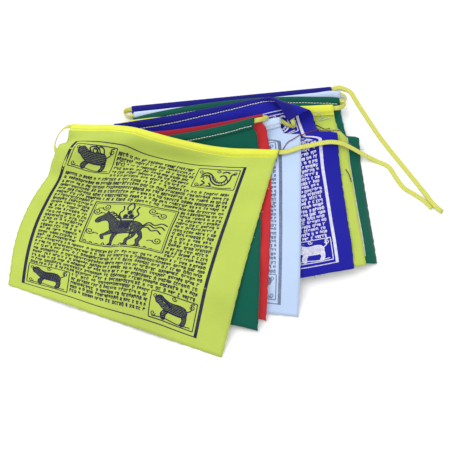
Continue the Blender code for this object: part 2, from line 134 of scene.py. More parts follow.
def plan(flag, u, s):
    """The plan point u of the way along the hem and s down the flag."""
    u, s = np.asarray(u, float)[..., None], np.asarray(s, float)[..., None]
    hem_left, hem_right, foot_left, foot_right = (np.array(p, float) for p in flag[3:7])
    top = hem_left + (hem_right - hem_left) * u
    bottom = foot_left + (foot_right - foot_left) * u
    length = np.linalg.norm(bottom - top, axis=-1, keepdims=True)
    hem_v = HEM_END / length
    v = np.where(s < HEM_END, s / length, hem_v + (s - HEM_END) / (DROP - HEM_END) * (1 - hem_v))
    across = unit(hem_right - hem_left)
    back = np.array((-across[1], across[0]))
    below = np.clip((s - HEM_END) / (DROP - HEM_END), 0, 1)
    left_side, right_side = np.sin(np.pi * below), np.sin(np.pi * np.sqrt(below))
    notch = step((s - flag.crease) / CREASE_BACK + 1) * (DROP - s) / (DROP - flag.crease)
    out = flag.right_bow * u * right_side - flag.left_bow * (1 - u) * left_side
    out = out + flag.notch * u * u * notch
    return top * (1 - v) + bottom * v + across * out + back * flag.hem_bow * 4 * u * (1 - u) * (1 - v)


def nearest(flag, target, u, s):
    """The u and s whose plan point is the target, by Newton's method."""
    du, ds = 1e-3, 0.2
    for _ in range(8):
        here = plan(flag, u, s)
        along, down = (plan(flag, u + du, s) - here) / du, (plan(flag, u, s + ds) - here) / ds
        miss = target - here
        det = along[:, 0] * down[:, 1] - along[:, 1] * down[:, 0]
        u = u + (miss[:, 0] * down[:, 1] - miss[:, 1] * down[:, 0]) / det
        s = s + (along[:, 0] * miss[:, 1] - along[:, 1] * miss[:, 0]) / det
    return np.clip(u, 0, 1), np.clip(s, -NOSE, DROP)


def hem_section(face_up):
    """(s, n) from the raw edge round the cord to where the body starts."""
    lower = [(-FLAT, 0.0)]
    nose = [(-NOSE, HEM_RISE / 2)]
    upper = [(-FLAT, HEM_RISE), (FLAT, HEM_RISE), (STITCH, SEAM_RISE)]
    if face_up:
        return [(RAW_EDGE, 0.0)] + lower + nose + upper + [(HEM_END, SEAM_RISE)]
    return [(RAW_EDGE, SEAM_RISE)] + upper[::-1] + nose + lower + [(HEM_END, 0.0)]


def rows(flag):
    """How far down the flag each row of its body lies, closer together by the hem and the crease."""
    if not flag.crease:
        return HEM_END + (DROP - HEM_END) * np.linspace(0, 1, 11) ** 1.5
    c = flag.crease
    above = np.linspace(HEM_END, c - CREASE_BACK, 5)
    below = np.linspace(c + CREASE_FRONT, DROP, 5)
    return np.concatenate([above, (c, c + CREASE_FRONT * 0.4), below])


def fold_over(flag, point, n):
    """Bends what lies past a folded corner's line up and over; returns plan points and heights."""
    if flag.number not in FOLDS:
        return point, n, np.zeros(len(n))
    fold = FOLDS[flag.number]
    left, along = np.array(fold.left, float), unit(np.subtract(fold.right, fold.left))
    out = np.array((-along[1], along[0]))
    d, r = (point - left) @ out, fold.radius
    angle = np.clip(d / r, 0, np.pi)
    bent = np.where(d > 0, (r - n) * np.sin(angle) - np.maximum(d - np.pi * r, 0), d)
    height = np.where(d > 0, r - (r - n) * np.cos(angle), n)
    return point + (bent - d)[:, None] * out, height, d


def cut_at_fold(mesh, flag):
    """Adds edges across the flat cloth where the folded corner bends."""
    if flag.number not in FOLDS:
        return
    fold = FOLDS[flag.number]
    left, along = np.array(fold.left, float), unit(np.subtract(fold.right, fold.left))
    out = np.array((-along[1], along[0]))
    for k in range(FOLD_STEPS + 1):
        place = left + out * (k * np.pi * fold.radius / FOLD_STEPS)
        bmesh.ops.bisect_plane(
            mesh, geom=mesh.verts[:] + mesh.edges[:] + mesh.faces[:], dist=0.05,
            plane_co=(*place, 0), plane_no=(*out, 0),
        )


def flat_cloth(flag):
    """The flag's cloth before bending: corners (x, y, n), their u and s, and its triangles."""
    section = hem_section(flag.face_up)
    body = rows(flag)[1:]
    if flag.face_up:
        body_n = np.maximum(SEAM_RISE * (1 - (body - HEM_END) / 12), 0)
    else:
        body_n = np.zeros(len(body))
    section = section + list(zip(body, body_n))
    mesh = bmesh.new()
    keep_u, keep_s = (mesh.verts.layers.float.new(name) for name in "us")
    lines = []
    for s, n in section:
        line = []
        for u in ACROSS:
            vert = mesh.verts.new((*plan(flag, u, s), n))
            vert[keep_u], vert[keep_s] = u, s
            line.append(vert)
        lines.append(line)
    for upper, lower in zip(lines, lines[1:]):
        for i in range(len(ACROSS) - 1):
            mesh.faces.new((upper[i], lower[i], lower[i + 1], upper[i + 1]))
    cut_at_fold(mesh, flag)
    bmesh.ops.triangulate(mesh, faces=mesh.faces[:])
    mesh.verts.index_update()
    points = np.array([v.co[:] for v in mesh.verts], float)
    u = np.array([v[keep_u] for v in mesh.verts])
    s = np.array([v[keep_s] for v in mesh.verts])
    triangles = np.array([[v.index for v in face.verts] for face in mesh.faces])
    mesh.free()
    return points, u, s, triangles


def barycentric(count):
    """Even samples over a triangle, as weights of its corners."""
    return np.array(
        [(i, j, count - i - j) for i in range(count + 1) for j in range(count + 1 - i)], float
    ) / count


WEIGHTS = barycentric(SAMPLES)


def grown(field):
    """Each cell takes the highest of its neighbours."""
    padded = np.pad(field, 1, mode="edge")
    h, w = field.shape
    return np.max([padded[i:i + h, j:j + w] for i in range(3) for j in range(3)], axis=0)


def softened(field):
    """A smooth cover over the heap: grown by two cells, then blurred."""
    cover = grown(grown(field))
    for _ in range(3):
        for axis in (0, 1):
            padded = np.pad(cover, [(2, 2) if k == axis else (0, 0) for k in (0, 1)], mode="edge")
            windows = [np.take(padded, range(k, k + cover.shape[axis]), axis) for k in range(5)]
            cover = np.mean(windows, axis=0)
    return cover


def cell_of(point):
    cell = ((point - GRID_LOW) / CELL).astype(int)
    return cell[..., 0], cell[..., 1]


def lay_on(field, samples):
    """Raises the heap's height field to the samples' heights."""
    np.maximum.at(field, cell_of(samples[:, :2]), samples[:, 2])


def facet_samples(points, triangles, extra):
    """Points spread over both sides of the sheet, and extra's columns at the same places."""
    corner = points[triangles]
    normal = np.cross(corner[:, 1] - corner[:, 0], corner[:, 2] - corner[:, 0])
    normal /= np.linalg.norm(normal, axis=1, keepdims=True)
    middle = np.einsum("kc,tcx->tkx", WEIGHTS, corner)
    half = normal[:, None] * SHEET / 2
    sides = np.concatenate([middle + half, middle - half]).reshape(-1, 3)
    carried = np.einsum("kc,tcx->tkx", WEIGHTS, extra[triangles])
    return sides, np.concatenate([carried, carried]).reshape(-1, extra.shape[1])


def around_cord(line, roll):
    """Points over the top of a cord on this line, out to half its width."""
    high = np.hypot(CORD_WIDE / 2 * np.sin(roll), CORD_THICK / 2)
    top = line + np.outer(high, (0, 0, 1))
    dense = np.concatenate([a + (b - a) * np.linspace(0, 1, 9)[:, None] for a, b in zip(top, top[1:])])
    half = CORD_WIDE / 2
    ring = np.array([(x, y, 0) for x in (-half, 0, half) for y in (-half, 0, half)])
    return (dense[:, None] + ring).reshape(-1, 3)


class Lift:
    """The height of one flag's cloth on a grid of its columns and rows; the hem is lifted whole."""

    def __init__(self, flag, heap):
        self.rows = np.concatenate([[-NOSE], rows(flag)])
        self.length = np.linalg.norm(np.subtract(flag.hem_right, flag.hem_left))
        self.values = np.zeros((len(ACROSS), len(self.rows)))
        if flag.number == FLAGS[0].number:
            self.values += SHEET / 2
            return
        u, s = np.meshgrid(ACROSS, self.rows, indexing="ij")
        cover = softened(heap)
        self.values = cover[cell_of(plan(flag, u, s))] + GAP + SHEET / 2
        if flag.number == CREASED:
            behind = (s - flag.crease) / CREASE_BACK + 1
            ahead = 1 - (s - flag.crease) / CREASE_FRONT
            faded = step((u - CREASE_FADES) / CREASE_FADE)
            self.values += CREASE_HEIGHT * step(np.minimum(behind, ahead)) * faded

    def weights(self, u, s):
        """The four grid values that a point hangs between, and their shares."""
        column = np.clip(np.interp(u, ACROSS, np.arange(len(ACROSS))), 0, len(ACROSS) - 1 - 1e-6)
        row = np.interp(s, self.rows, np.arange(len(self.rows)))
        row = np.clip(row, 0, len(self.rows) - 1 - 1e-6)
        i, j = column.astype(int), row.astype(int)
        a, b = column - i, row - j
        share = np.stack([(1 - a) * (1 - b), a * (1 - b), (1 - a) * b, a * b])
        return (np.stack([i, i + 1, i, i + 1]), np.stack([j, j, j + 1, j + 1])), share

    def at(self, u, s):
        cells, share = self.weights(u, s)
        return (self.values[cells] * share).sum(axis=0)

    def square_to_hem(self, flag, u):
        """The direction square to the hem's own slope and tilt at each u."""
        half, zero = 0.04, np.zeros(len(u))
        left, right = np.maximum(u - half, 0), np.minimum(u + half, 1)

        def place(at_u, at_s):
            return np.column_stack([plan(flag, at_u, zero + at_s), self.at(at_u, zero + at_s)])

        square = np.cross(place(u, HEM_END) - place(u, -NOSE), place(right, 0) - place(left, 0))
        return square / np.linalg.norm(square, axis=1, keepdims=True)

    def clear(self, heap, held, triangles, u, s):
        """Raises the cloth until every facet is clear of the heap."""
        high = grown(heap)
        for _ in range(80):
            points = held.laid(self)
            samples, us = facet_samples(points, triangles, np.stack([u, s], axis=1))
            short = high[cell_of(samples[:, :2])] + GAP + 0.03 - samples[:, 2]
            if short.max() < 0.03:
                break
            cells, share = self.weights(us[:, 0], us[:, 1])
            rise = np.maximum(short, 0) * share / (share**2).sum(axis=0)
            raised = np.zeros_like(self.values)
            np.maximum.at(raised, cells, rise)
            self.values += raised
            self.stiffen()

    def stiffen(self):
        """Lifts the hem beside its high places, because the cord keeps it from bending sharply."""
        hem = self.values[:, :2]
        for order in (range(1, len(hem)), range(len(hem) - 2, -1, -1)):
            for i in order:
                beside = i - 1 if order.step > 0 else i + 1
                fall = HEM_SLOPE * self.length * abs(ACROSS[i] - ACROSS[beside])
                hem[i] = np.maximum(hem[i], hem[beside] - fall)
                hem[i] = np.maximum(hem[i], hem[i, ::-1] - HEM_TILT)


class Held:
    """Where cloth or cord of a flag goes in plan, how far it stands off, and the lift it follows."""

    def __init__(self, flag, points, u, s):
        self.flag, self.u = flag, u
        self.place, self.off, past = fold_over(flag, points[:, :2], points[:, 2])
        self.over = past > 0
        self.hem = s < HEM_END + 0.01
        self.upright = np.clip(past / BEND_START, 0, 1)[self.hem, None]
        self.held_u, self.held_s = u.copy(), s.copy()
        if self.over.any():
            found = nearest(flag, self.place[self.over], u[self.over], s[self.over])
            self.held_u[self.over], self.held_s[self.over] = found

    def laid(self, lift):
        """The points, with a hem standing square to its own slope so that its channel stays open."""
        points = np.column_stack([self.place, lift.at(self.held_u, self.held_s)])
        away = np.zeros_like(points)
        away[:, 2] = 1
        square = lift.square_to_hem(self.flag, self.u[self.hem])
        away[self.hem] = square + (away[self.hem] - square) * self.upright
        return points + away * self.off[:, None]


def shape_flag(flag, heap):
    """Lays one flag on the heap; returns its points, its triangles and its lift."""
    points, u, s, triangles = flat_cloth(flag)
    held = Held(flag, points, u, s)
    lift = Lift(flag, heap)
    under = triangles[~held.over[triangles].any(axis=1)]
    if flag.number != FLAGS[0].number:
        lift.clear(heap, held, under, u, s)
    points = held.laid(lift)
    samples, _ = facet_samples(points, under, points)
    lay_on(heap, samples)
    return points, triangles, lift


Channel = namedtuple("Channel", "first last second before_last")


def cord_tube(mesh, flag, lift, rightwards):
    """Adds the cord inside a flag's channel to the mesh; returns its rings in running order."""
    tube = bmesh.new()
    keep_u, keep_s = (tube.verts.layers.float.new(name) for name in "us")
    rings = []
    way = 1 if rightwards else -1
    for u in ACROSS[::way]:
        ring = []
        for a, b in CORD_SECTION:
            s = way * a * CORD_WIDE / 2
            n = HEM_RISE / 2 + b * CORD_THICK / 2
            vert = tube.verts.new((*plan(flag, u, s), n))
            vert[keep_u], vert[keep_s] = u, s
            ring.append(vert)
        rings.append(ring)
    join_rings(tube, rings)
    cut_at_fold(tube, flag)
    verts = list(tube.verts)
    points = np.array([v.co[:] for v in verts], float)
    held = Held(flag, points, np.array([v[keep_u] for v in verts]), np.array([v[keep_s] for v in verts]))
    new = {v: mesh.verts.new(tuple(p)) for v, p in zip(verts, held.laid(lift))}
    for face in tube.faces:
        mesh.faces.new([new[v] for v in face.verts])
    channel = Channel(*([new[v] for v in rings[k]] for k in (0, -1, 1, -2)))
    tube.free()
    return channel


def join_rings(mesh, rings):
    for here, ahead in zip(rings, rings[1:]):
        for k in range(len(here)):
            after = (k + 1) % len(here)
            mesh.faces.new((here[k], here[after], ahead[after], ahead[k]))


def middle(ring):
    return np.mean([v.co[:] for v in ring], axis=0)


def matched(ring, to):
    """The ring's corners, started where they lie nearest to the other ring's."""
    turns = [ring[k:] + ring[:k] for k in range(len(ring))]
    return min(turns, key=lambda r: sum((a.co - b.co).length for a, b in zip(r, to)))


def turn(start, start_way, end, end_way, reach, dip, count=7):
    """The cord's turn between two channels: a curve that leaves and enters along them."""
    t = np.linspace(0, 1, count + 2)[1:-1, None]
    a, b = start + start_way * reach[0], end + end_way * reach[1]
    line = (1 - t) ** 3 * start + 3 * (1 - t) ** 2 * t * a + 3 * (1 - t) * t**2 * b + t**3 * end
    roll = np.sin(np.pi * t[:, 0]) * TURN_ROLL
    line[:, 2] = start[2] + (end[2] - start[2]) * step((t[:, 0] - 0.4) / 0.6) - dip * np.sin(np.pi * t[:, 0])
    lowest = CORD_WIDE / 2 * np.sin(roll) + CORD_THICK / 2 * np.cos(roll) + GAP / 2
    line[:, 2] = np.maximum(line[:, 2], lowest)
    return line, roll


def smooth_route(route, spacing):
    """Points about this far apart on a Catmull-Rom curve through the route."""
    p = np.array(route, float)
    p = np.vstack([2 * p[0] - p[1], p, 2 * p[-1] - p[-2]])
    found = [p[1]]
    for a, b, c, d in zip(p, p[1:], p[2:], p[3:]):
        count = max(int(np.linalg.norm(c - b) / spacing), 1)
        for t in np.arange(1, count + 1) / count:
            found.append(
                0.5 * (2 * b + (c - a) * t + (2 * a - 5 * b + 4 * c - d) * t**2
                       + (3 * b - a - 3 * c + d) * t**3)
            )
    return np.array(found)


def tail_line(end, way, route, heap):
    """The middle of a free end that leaves a channel's mouth and lies along a route on the heap."""
    start = [end[:2] + way[:2] * 2 * GAP, end[:2] + way[:2] * CORD_WIDE]
    line = smooth_route([*start, *route], CORD_WIDE)
    height = grown(grown(heap))[cell_of(line)] + GAP + CORD_THICK / 2 + 0.1
    away = np.linalg.norm(line - end[:2], axis=1)
    height = np.where(away < 2 * CORD_WIDE, end[2], height)
    apart = np.linalg.norm(np.diff(line, axis=0), axis=1)
    for i in range(len(line) - 2, -1, -1):
        height[i] = max(height[i], height[i + 1] - TAIL_SLOPE * apart[i])
    for i in range(1, len(line)):
        height[i] = max(height[i], height[i - 1] - TAIL_SLOPE * apart[i - 1])
    return np.column_stack([line, height])


def frame_along(line):
    """The cord's way, its level side and its upper side at each point."""
    way = np.gradient(line, axis=0)
    way /= np.linalg.norm(way, axis=1, keepdims=True)
    side = np.cross(way, (0, 0, 1))
    side /= np.linalg.norm(side, axis=1, keepdims=True)
    return way, side, np.cross(side, way)


def swept_rings(mesh, line, roll):
    """Adds rings of the cord's section along a line, rolled about it by an angle at each point."""
    _, side, over = frame_along(line)
    roll = np.asarray(roll)[:, None]
    side, over = side * np.cos(roll) + over * np.sin(roll), over * np.cos(roll) - side * np.sin(roll)
    corners = [line + side * a * CORD_WIDE / 2 + over * b * CORD_THICK / 2 for a, b in CORD_SECTION]
    return [[mesh.verts.new(tuple(corner[i])) for corner in corners] for i in range(len(line))]


# ---------------------------------------------------------------- where the solids' cloth lies

def leaving(channel):
    """Where the cord leaves a channel, and its way there."""
    end = middle(channel.last)
    return end, unit(end - middle(channel.before_last))


def entering(channel):
    """Where the cord enters a channel, and the way back out of it."""
    end = middle(channel.first)
    return end, unit(end - middle(channel.second))


def turn_to(flag, start, start_way, mouth, mouth_way, count=7):
    """The cord's turn from the flag below into this flag's channel."""
    if flag.number + 1 in FOLDS:
        return turn(start, start_way, mouth, mouth_way, LOOP_REACH, LOOP_DIP, count)
    reach = max(TURN_REACH, WIDE_REACH * np.linalg.norm(mouth[:2] - start[:2]))
    return turn(start, start_way, mouth, mouth_way, (reach, reach), 0, count)


def keep_room_for_turn(flag, heap, before, rightwards):
    """Lays the first stretch of the coming turn on the heap, so that the flag clears it."""
    start, start_way = leaving(before)
    mouth = np.array((*plan(flag, 0 if rightwards else 1, 0), start[2]))
    out = unit(np.subtract(flag.hem_right, flag.hem_left)) * (-1 if rightwards else 1)
    line, roll = turn_to(flag, start, start_way, mouth, np.array((*out, 0)))
    lay_on(heap, around_cord(line[:TURN_KEPT], roll[:TURN_KEPT]))


def join_channels(mesh, flag, heap, before, channel):
    """Adds the turn from the flag below to this one and lays it on the heap."""
    line, roll = turn_to(flag, *leaving(before), *entering(channel))
    lay_on(heap, around_cord(line, roll))
    fine, fine_roll = turn_to(flag, *leaving(before), *entering(channel), count=FINE_TURN)
    rings = [before.last]
    for ring in [*swept_rings(mesh, fine, fine_roll), channel.first]:
        rings.append(matched(ring, rings[-1]))
    join_rings(mesh, rings)


def lay_all():
    """Repeats the solids' layering: each flag's lift, the cord's run, and the heap's heights."""
    cells = ((GRID_HIGH - GRID_LOW) / CELL).astype(int) + 1
    heap, run, channels, lifts = np.full(cells, BARE), bmesh.new(), [], {}
    for index, flag in enumerate(FLAGS):
        rightwards = index % 2 == 1
        if channels:
            keep_room_for_turn(flag, heap, channels[-1], rightwards)
        _, _, lift = shape_flag(flag, heap)
        lifts[flag.number] = lift
        channels.append(cord_tube(run, flag, lift, rightwards))
        if index:
            join_channels(run, flag, heap, channels[-2], channels[-1])
    return heap, run, channels, lifts


# ---------------------------------------------------------------- finer cloth on the same folds

def slopes(x, y):
    """Slopes at the knots that keep a cubic curve from overshooting."""
    h = np.diff(x)[:, None]
    d = np.diff(y, axis=0) / h
    w1, w2 = 2 * h[1:] + h[:-1], h[1:] + 2 * h[:-1]
    same = d[:-1] * d[1:] > 0
    mean = (w1 + w2) / (w1 / np.where(same, d[:-1], 1) + w2 / np.where(same, d[1:], 1))
    return np.concatenate([d[:1], np.where(same, mean, 0), d[-1:]])


def smooth_between(x, y, at):
    """The smooth curve through (x, y), one for each column of y."""
    k = np.clip(np.searchsorted(x, at, side="right") - 1, 0, len(x) - 2)
    h, m = (x[k + 1] - x[k])[:, None], slopes(x, y)
    t = ((at - x[k]) / (x[k + 1] - x[k]))[:, None]
    start = (1 + 2 * t) * (1 - t) ** 2 * y[k] + t * (1 - t) ** 2 * h * m[k]
    return start + t * t * (3 - 2 * t) * y[k + 1] + t * t * (t - 1) * h * m[k + 1]


def spread(field, u, s):
    """A grid's value between its points; the grid covers the flag evenly from its nose to its foot."""
    i = np.clip(u, 0, 1 - 1e-9) * (field.shape[0] - 1)
    j = np.clip((s + NOSE) / (DROP + NOSE), 0, 1 - 1e-9) * (field.shape[1] - 1)
    a, b, i, j = i % 1, j % 1, i.astype(int), j.astype(int)
    near = field[i, j] * (1 - b) + field[i, j + 1] * b
    far = field[i + 1, j] * (1 - b) + field[i + 1, j + 1] * b
    return near * (1 - a) + far * a


class FineLift:
    """The solid's lift, smoothed between its columns and rows."""

    def __init__(self, lift):
        across = np.linspace(0, 1, FINE_ACROSS)
        down = np.linspace(-NOSE, DROP, FINE_DOWN)
        field = smooth_between(lift.rows, smooth_between(ACROSS, lift.values, across).T, down).T
        self.values, self.across, self.down = field, across, down

    def at(self, u, s):
        return spread(self.values, u, s)

    def square_to_hem(self, flag, u):
        return Lift.square_to_hem(self, flag, u)


def ripples(flag, u, s):
    """Small uneven waves of worn cotton, and the flag's own creases; none in the hem."""
    chance = random.Random(flag.number)
    x, total = u * WIDTH, np.zeros_like(u)
    for _ in range(14):
        angle, length = chance.uniform(-0.5, 0.9), chance.uniform(9, 34)
        along = (x * math.cos(angle) + s * math.sin(angle)) * 2 * math.pi / length
        total += np.sin(along + chance.uniform(0, 6)) * length * RIPPLE
    for crease in CREASES:
        if crease.flag != flag.number:
            continue
        a, b = np.array(crease.start, float), np.array(crease.end, float)
        way, reach = unit(b - a), np.linalg.norm(b - a)
        t = (x - a[0]) * way[0] + (s - a[1]) * way[1]
        off = (x - a[0]) * -way[1] + (s - a[1]) * way[0]
        ends = step(t / 14 + 0.5) * step((reach - t) / 14 + 0.5)
        total += crease.height * np.exp(-(off / crease.width) ** 2) * ends
    return total * step((s - HEM_END) / 14)


def short_of_fold(flag, place):
    """How far each point lies below the flag's folded corner."""
    if flag.number not in FOLDS:
        return np.full(len(place), np.inf)
    return -fold_over(flag, place, np.zeros(len(place)))[2]


CLEAR = 0.12  # between one visible sheet and the next
NEAR_FOLD = 2.0  # the ripples stop this far short of a folded corner
HEM_SUNK = 0.4  # the rounded hem stays this far below the solids' upper layer


def settle(flag, fine, heap):
    """Adds the ripples and keeps the cloth just over what is under it; then lays it on the heap."""
    u, s = np.meshgrid(fine.across, fine.down, indexing="ij")
    flat_u, flat_s = u.ravel(), s.ravel()
    place = plan(flag, flat_u, flat_s)
    loose = (flat_s > HEM_END) & (short_of_fold(flag, place) > NEAR_FOLD)
    z = fine.values.ravel() + ripples(flag, flat_u, flat_s) * loose
    high = grown(heap)[cell_of(place)] + THIN / 2 + CLEAR
    z = np.where(loose, np.maximum(z, high), z).reshape(u.shape)
    for _ in range(2):
        blurred = z.copy()
        around = z[:-2, 1:-1] + z[2:, 1:-1] + z[1:-1, :-2] + z[1:-1, 2:]
        blurred[1:-1, 1:-1] = (z[1:-1, 1:-1] * 4 + around) / 8
        z = np.where(loose.reshape(u.shape), np.maximum(blurred, high.reshape(u.shape)), z)
    fine.values = z
    dense_u, dense_s = (g.ravel() for g in np.meshgrid(
        np.linspace(0, 1, 3 * FINE_ACROSS), np.linspace(-NOSE, DROP, 3 * FINE_DOWN), indexing="ij"))
    place = plan(flag, dense_u, dense_s)
    top = fine.at(dense_u, dense_s) + THIN / 2 + (dense_s < HEM_END) * (HEM_RISE - HEM_SUNK)
    lay_on(heap, np.column_stack([place, top])[short_of_fold(flag, place) > 0])


def rounded(section, times=2):
    """The hem's section with its corners cut."""
    line = np.array(section, float)
    for _ in range(times):
        a, b = line[:-1], line[1:]
        inner = np.stack([a * 0.75 + b * 0.25, a * 0.25 + b * 0.75], axis=1).reshape(-1, 2)
        line = np.vstack([line[:1], inner[1:-1], line[-1:]])
    return line


class Cloth:
    """One flag's visible cloth: a grid of points over its hem's section and its body."""

    def __init__(self, flag, fine):
        self.flag, self.fine = flag, fine
        hem = rounded(hem_section(flag.face_up))
        body = np.linspace(HEM_END, DROP, BODY_ROWS + 1)[1:]
        stand = np.maximum(SEAM_RISE * (1 - (body - HEM_END) / 12), 0) if flag.face_up else body * 0
        self.section = np.vstack([hem, np.column_stack([body, stand])])
        self.hem_rows = len(hem)
        u, row = np.meshgrid(np.linspace(0, 1, BODY_COLUMNS + 1), np.arange(len(self.section)), indexing="ij")
        self.shape = u.shape
        s, n = self.section[row.ravel()].T
        self.points = self.put(u.ravel(), s, n, edge=True).reshape(*self.shape, 3)
        along, down = np.gradient(self.points, axis=(0, 1))
        normal = np.cross(down, along)
        self.normals = normal / np.linalg.norm(normal, axis=2, keepdims=True)

    def put(self, u, s, n, edge=False):
        """Places points of the flag, given across it, down it and off its lowest layer."""
        place = plan(self.flag, u, s)
        if edge:
            ragged = np.sin(s * 1.7 + self.flag.number) * np.sin(s * 0.61) * 0.35 * ((u == 0) | (u == 1))
            foot = np.sin(u * 190 + self.flag.number) * np.sin(u * 71) * 0.35 * (s > DROP - 0.1)
            place = place + np.column_stack([ragged, foot])
        held = Held(self.flag, np.column_stack([place, n]), u, s)
        return held.laid(self.fine)

    def on_body(self, x, s, off):
        """Points on the body's surface, x millimetres from its left edge, this far off its middle."""
        i = np.clip(x / WIDTH, 0, 1 - 1e-9) * BODY_COLUMNS
        first = self.hem_rows - 1
        j = first + np.clip((s - HEM_END) / (DROP - HEM_END), 0, 1 - 1e-9) * BODY_ROWS
        a, b, i, j = (i % 1)[:, None], (j % 1)[:, None], i.astype(int), j.astype(int)

        def mixed(field):
            near = field[i, j] * (1 - b) + field[i, j + 1] * b
            return near * (1 - a) + (field[i + 1, j] * (1 - b) + field[i + 1, j + 1] * b) * a

        return mixed(self.points) + mixed(self.normals) * np.asarray(off)[..., None]

    def make(self):
        """The cloth's object, with its width and drop in millimetres as its UV map."""
        columns, count = self.shape
        index = np.arange(columns * count).reshape(columns, count)
        corners = [index[:-1, :-1], index[:-1, 1:], index[1:, 1:], index[1:, :-1]]
        quads = np.stack(corners, axis=-1).reshape(-1, 4)
        obj = mesh_object(f"flag_{self.flag.number:02d}_cloth", self.points.reshape(-1, 3), quads)
        path = np.concatenate([[0], np.cumsum(np.linalg.norm(np.diff(self.section, axis=0), axis=1))])
        u, row = np.meshgrid(np.linspace(0, WIDTH, columns), np.arange(count), indexing="ij")
        uv = np.column_stack([u.ravel(), path[row.ravel()]]) / UV_SIZE
        add_uv(obj, uv)
        solidify = obj.modifiers.new("thickness", "SOLIDIFY")
        solidify.thickness, solidify.offset = THIN * MM, 0
        return obj


# ---------------------------------------------------------------- making objects

def to_world(points):
    points = np.asarray(points, float)
    return (points - (*CENTRE, 0)) * MM


def mesh_object(name, points, faces):
    data = bpy.data.meshes.new(name)
    data.from_pydata(to_world(points).tolist(), [], [list(map(int, f)) for f in faces])
    data.update()
    data.shade_smooth()
    obj = bpy.data.objects.new(name, data)
    bpy.context.collection.objects.link(obj)
    return obj


def add_uv(obj, uv):
    """Gives each corner its vertex's place on the flat material."""
    layer = obj.data.uv_layers.new(name="flat")
    corners = np.empty(len(obj.data.loops), int)
    obj.data.loops.foreach_get("vertex_index", corners)
    layer.data.foreach_set("uv", uv[corners].ravel())


def dress(obj, surface, slot, *nodes):
    """Gives a piece its material and its body, and hides the solids that it stands for; slot is not used."""
    obj.data.materials.clear()
    obj.data.materials.append(surface)
    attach(obj, "root")
    if nodes:
        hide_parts(*nodes)
    return obj


# ---------------------------------------------------------------- materials

def linear(*rgb):
    """Display colour, 0 to 255, as the shader's linear colour."""
    return tuple((c / 255 / 12.92 if c < 10.3 else ((c / 255 + 0.055) / 1.055) ** 2.4) for c in rgb) + (1,)


class Surface:
    """A material's node tree, with short ways to add and join nodes."""

    def __init__(self, name, roughness, sheen=0.0):
        self.material = bpy.data.materials.new(name)
        self.material.use_nodes = True
        self.tree = self.material.node_tree
        self.shader = self.tree.nodes["Principled BSDF"]
        self.shader.inputs["Roughness"].default_value = roughness
        self.shader.inputs["Sheen Weight"].default_value = sheen
        self.shader.inputs["Specular IOR Level"].default_value = 0.2

    def add(self, kind, joined=(), **values):
        node = self.tree.nodes.new(kind)
        for key, value in values.items():
            if hasattr(node, key):
                setattr(node, key, value)
            else:
                node.inputs[key.replace("_", " ")].default_value = value
        for socket, source in dict(joined).items():
            self.tree.links.new(source, node.inputs[socket])
        return node

    def join(self, source, socket):
        self.tree.links.new(source, self.shader.inputs[socket])

    def math(self, operation, a, b=0.5):
        node = self.tree.nodes.new("ShaderNodeMath")
        node.operation = operation
        for k, value in enumerate((a, b)):
            if hasattr(value, "links"):
                self.tree.links.new(value, node.inputs[k])
            else:
                node.inputs[k].default_value = value
        return node.outputs[0]

    def ramp(self, factor, low, high, *colours):
        node = self.add("ShaderNodeValToRGB", {"Fac": factor})
        first, last = node.color_ramp.elements
        first.position, last.position = low, high
        first.color, last.color = colours
        return node.outputs["Color"]

    def noise(self, place, scale, detail):
        return self.add("ShaderNodeTexNoise", {"Vector": place}, Scale=scale, Detail=detail).outputs["Fac"]

    def bump(self, height, strength, distance):
        node = self.add("ShaderNodeBump", {"Height": height}, Strength=strength, Distance=distance)
        self.join(node.outputs["Normal"], "Normal")


def shade(colour, factor):
    return (*(c * factor for c in colour[:3]), 1)


def woven(name, colour, hem_colour, fade):
    """Plain-woven cotton: warp and weft, slubs, uneven dye and faint rubbed patches, with a little painted
    light on the raised threads and painted shade between them.
    """
    s = Surface(name, 0.88, 0.1)
    place = s.add("ShaderNodeUVMap", uv_map="flat").outputs["UV"]
    wobble = s.add("ShaderNodeTexNoise", {"Vector": place}, Scale=UV_SIZE * 0.35, Detail=2).outputs["Color"]
    bent = s.add("ShaderNodeMix", data_type="VECTOR")
    s.tree.links.new(place, bent.inputs[4])
    s.tree.links.new(wobble, bent.inputs[5])
    bent.inputs[0].default_value = 0.0012
    threads = []
    for direction in ("X", "Y"):
        wave = s.add("ShaderNodeTexWave", {"Vector": bent.outputs[1]}, bands_direction=direction)
        wave.inputs["Scale"].default_value = UV_SIZE * THREADS_PER_MM / 2
        wave.inputs["Distortion"].default_value = 0.4
        threads.append(wave.outputs["Fac"])
    weave = s.math("MAXIMUM", *threads)
    slub_place = s.add("ShaderNodeMapping", {"Vector": place})
    slub_place.inputs["Scale"].default_value = (UV_SIZE * 0.12, UV_SIZE * 1.6, 1)
    slub = s.noise(slub_place.outputs[0], 1.0, 3)
    patches = s.noise(place, UV_SIZE * 0.02, 5)
    tone = s.math("MULTIPLY_ADD", patches, 0.6)
    tone.node.inputs[2].default_value = 0.2
    tone = s.math("ADD", tone, s.math("MULTIPLY", slub, 0.25))
    # painted light and shade: the colour is a little lighter where the weave's threads stand up and darker
    # between them, following the bump below
    tone = s.math("ADD", tone, s.math("MULTIPLY", weave, 0.08))
    down = s.add("ShaderNodeSeparateXYZ", {"Vector": place}).outputs["Y"]
    both = s.add("ShaderNodeMix", data_type="RGBA")
    s.tree.links.new(s.math("LESS_THAN", down, HEM_PATH / UV_SIZE), both.inputs["Factor"])
    for socket, dye in ((6, colour), (7, hem_colour)):
        shades = s.ramp(tone, 0.3, 0.95, shade(dye, 1 - fade), shade(dye, 1 + fade))
        s.tree.links.new(shades, both.inputs[socket])
    s.join(both.outputs[2], "Base Color")
    height = s.math("ADD", s.math("MULTIPLY", weave, 0.6), s.math("MULTIPLY", slub, 0.4))
    s.bump(height, 0.35, 0.00012)
    s.join(s.ramp(patches, 0.2, 0.8, (0.82,) * 3 + (1,), (0.94,) * 3 + (1,)), "Roughness")
    return s.material


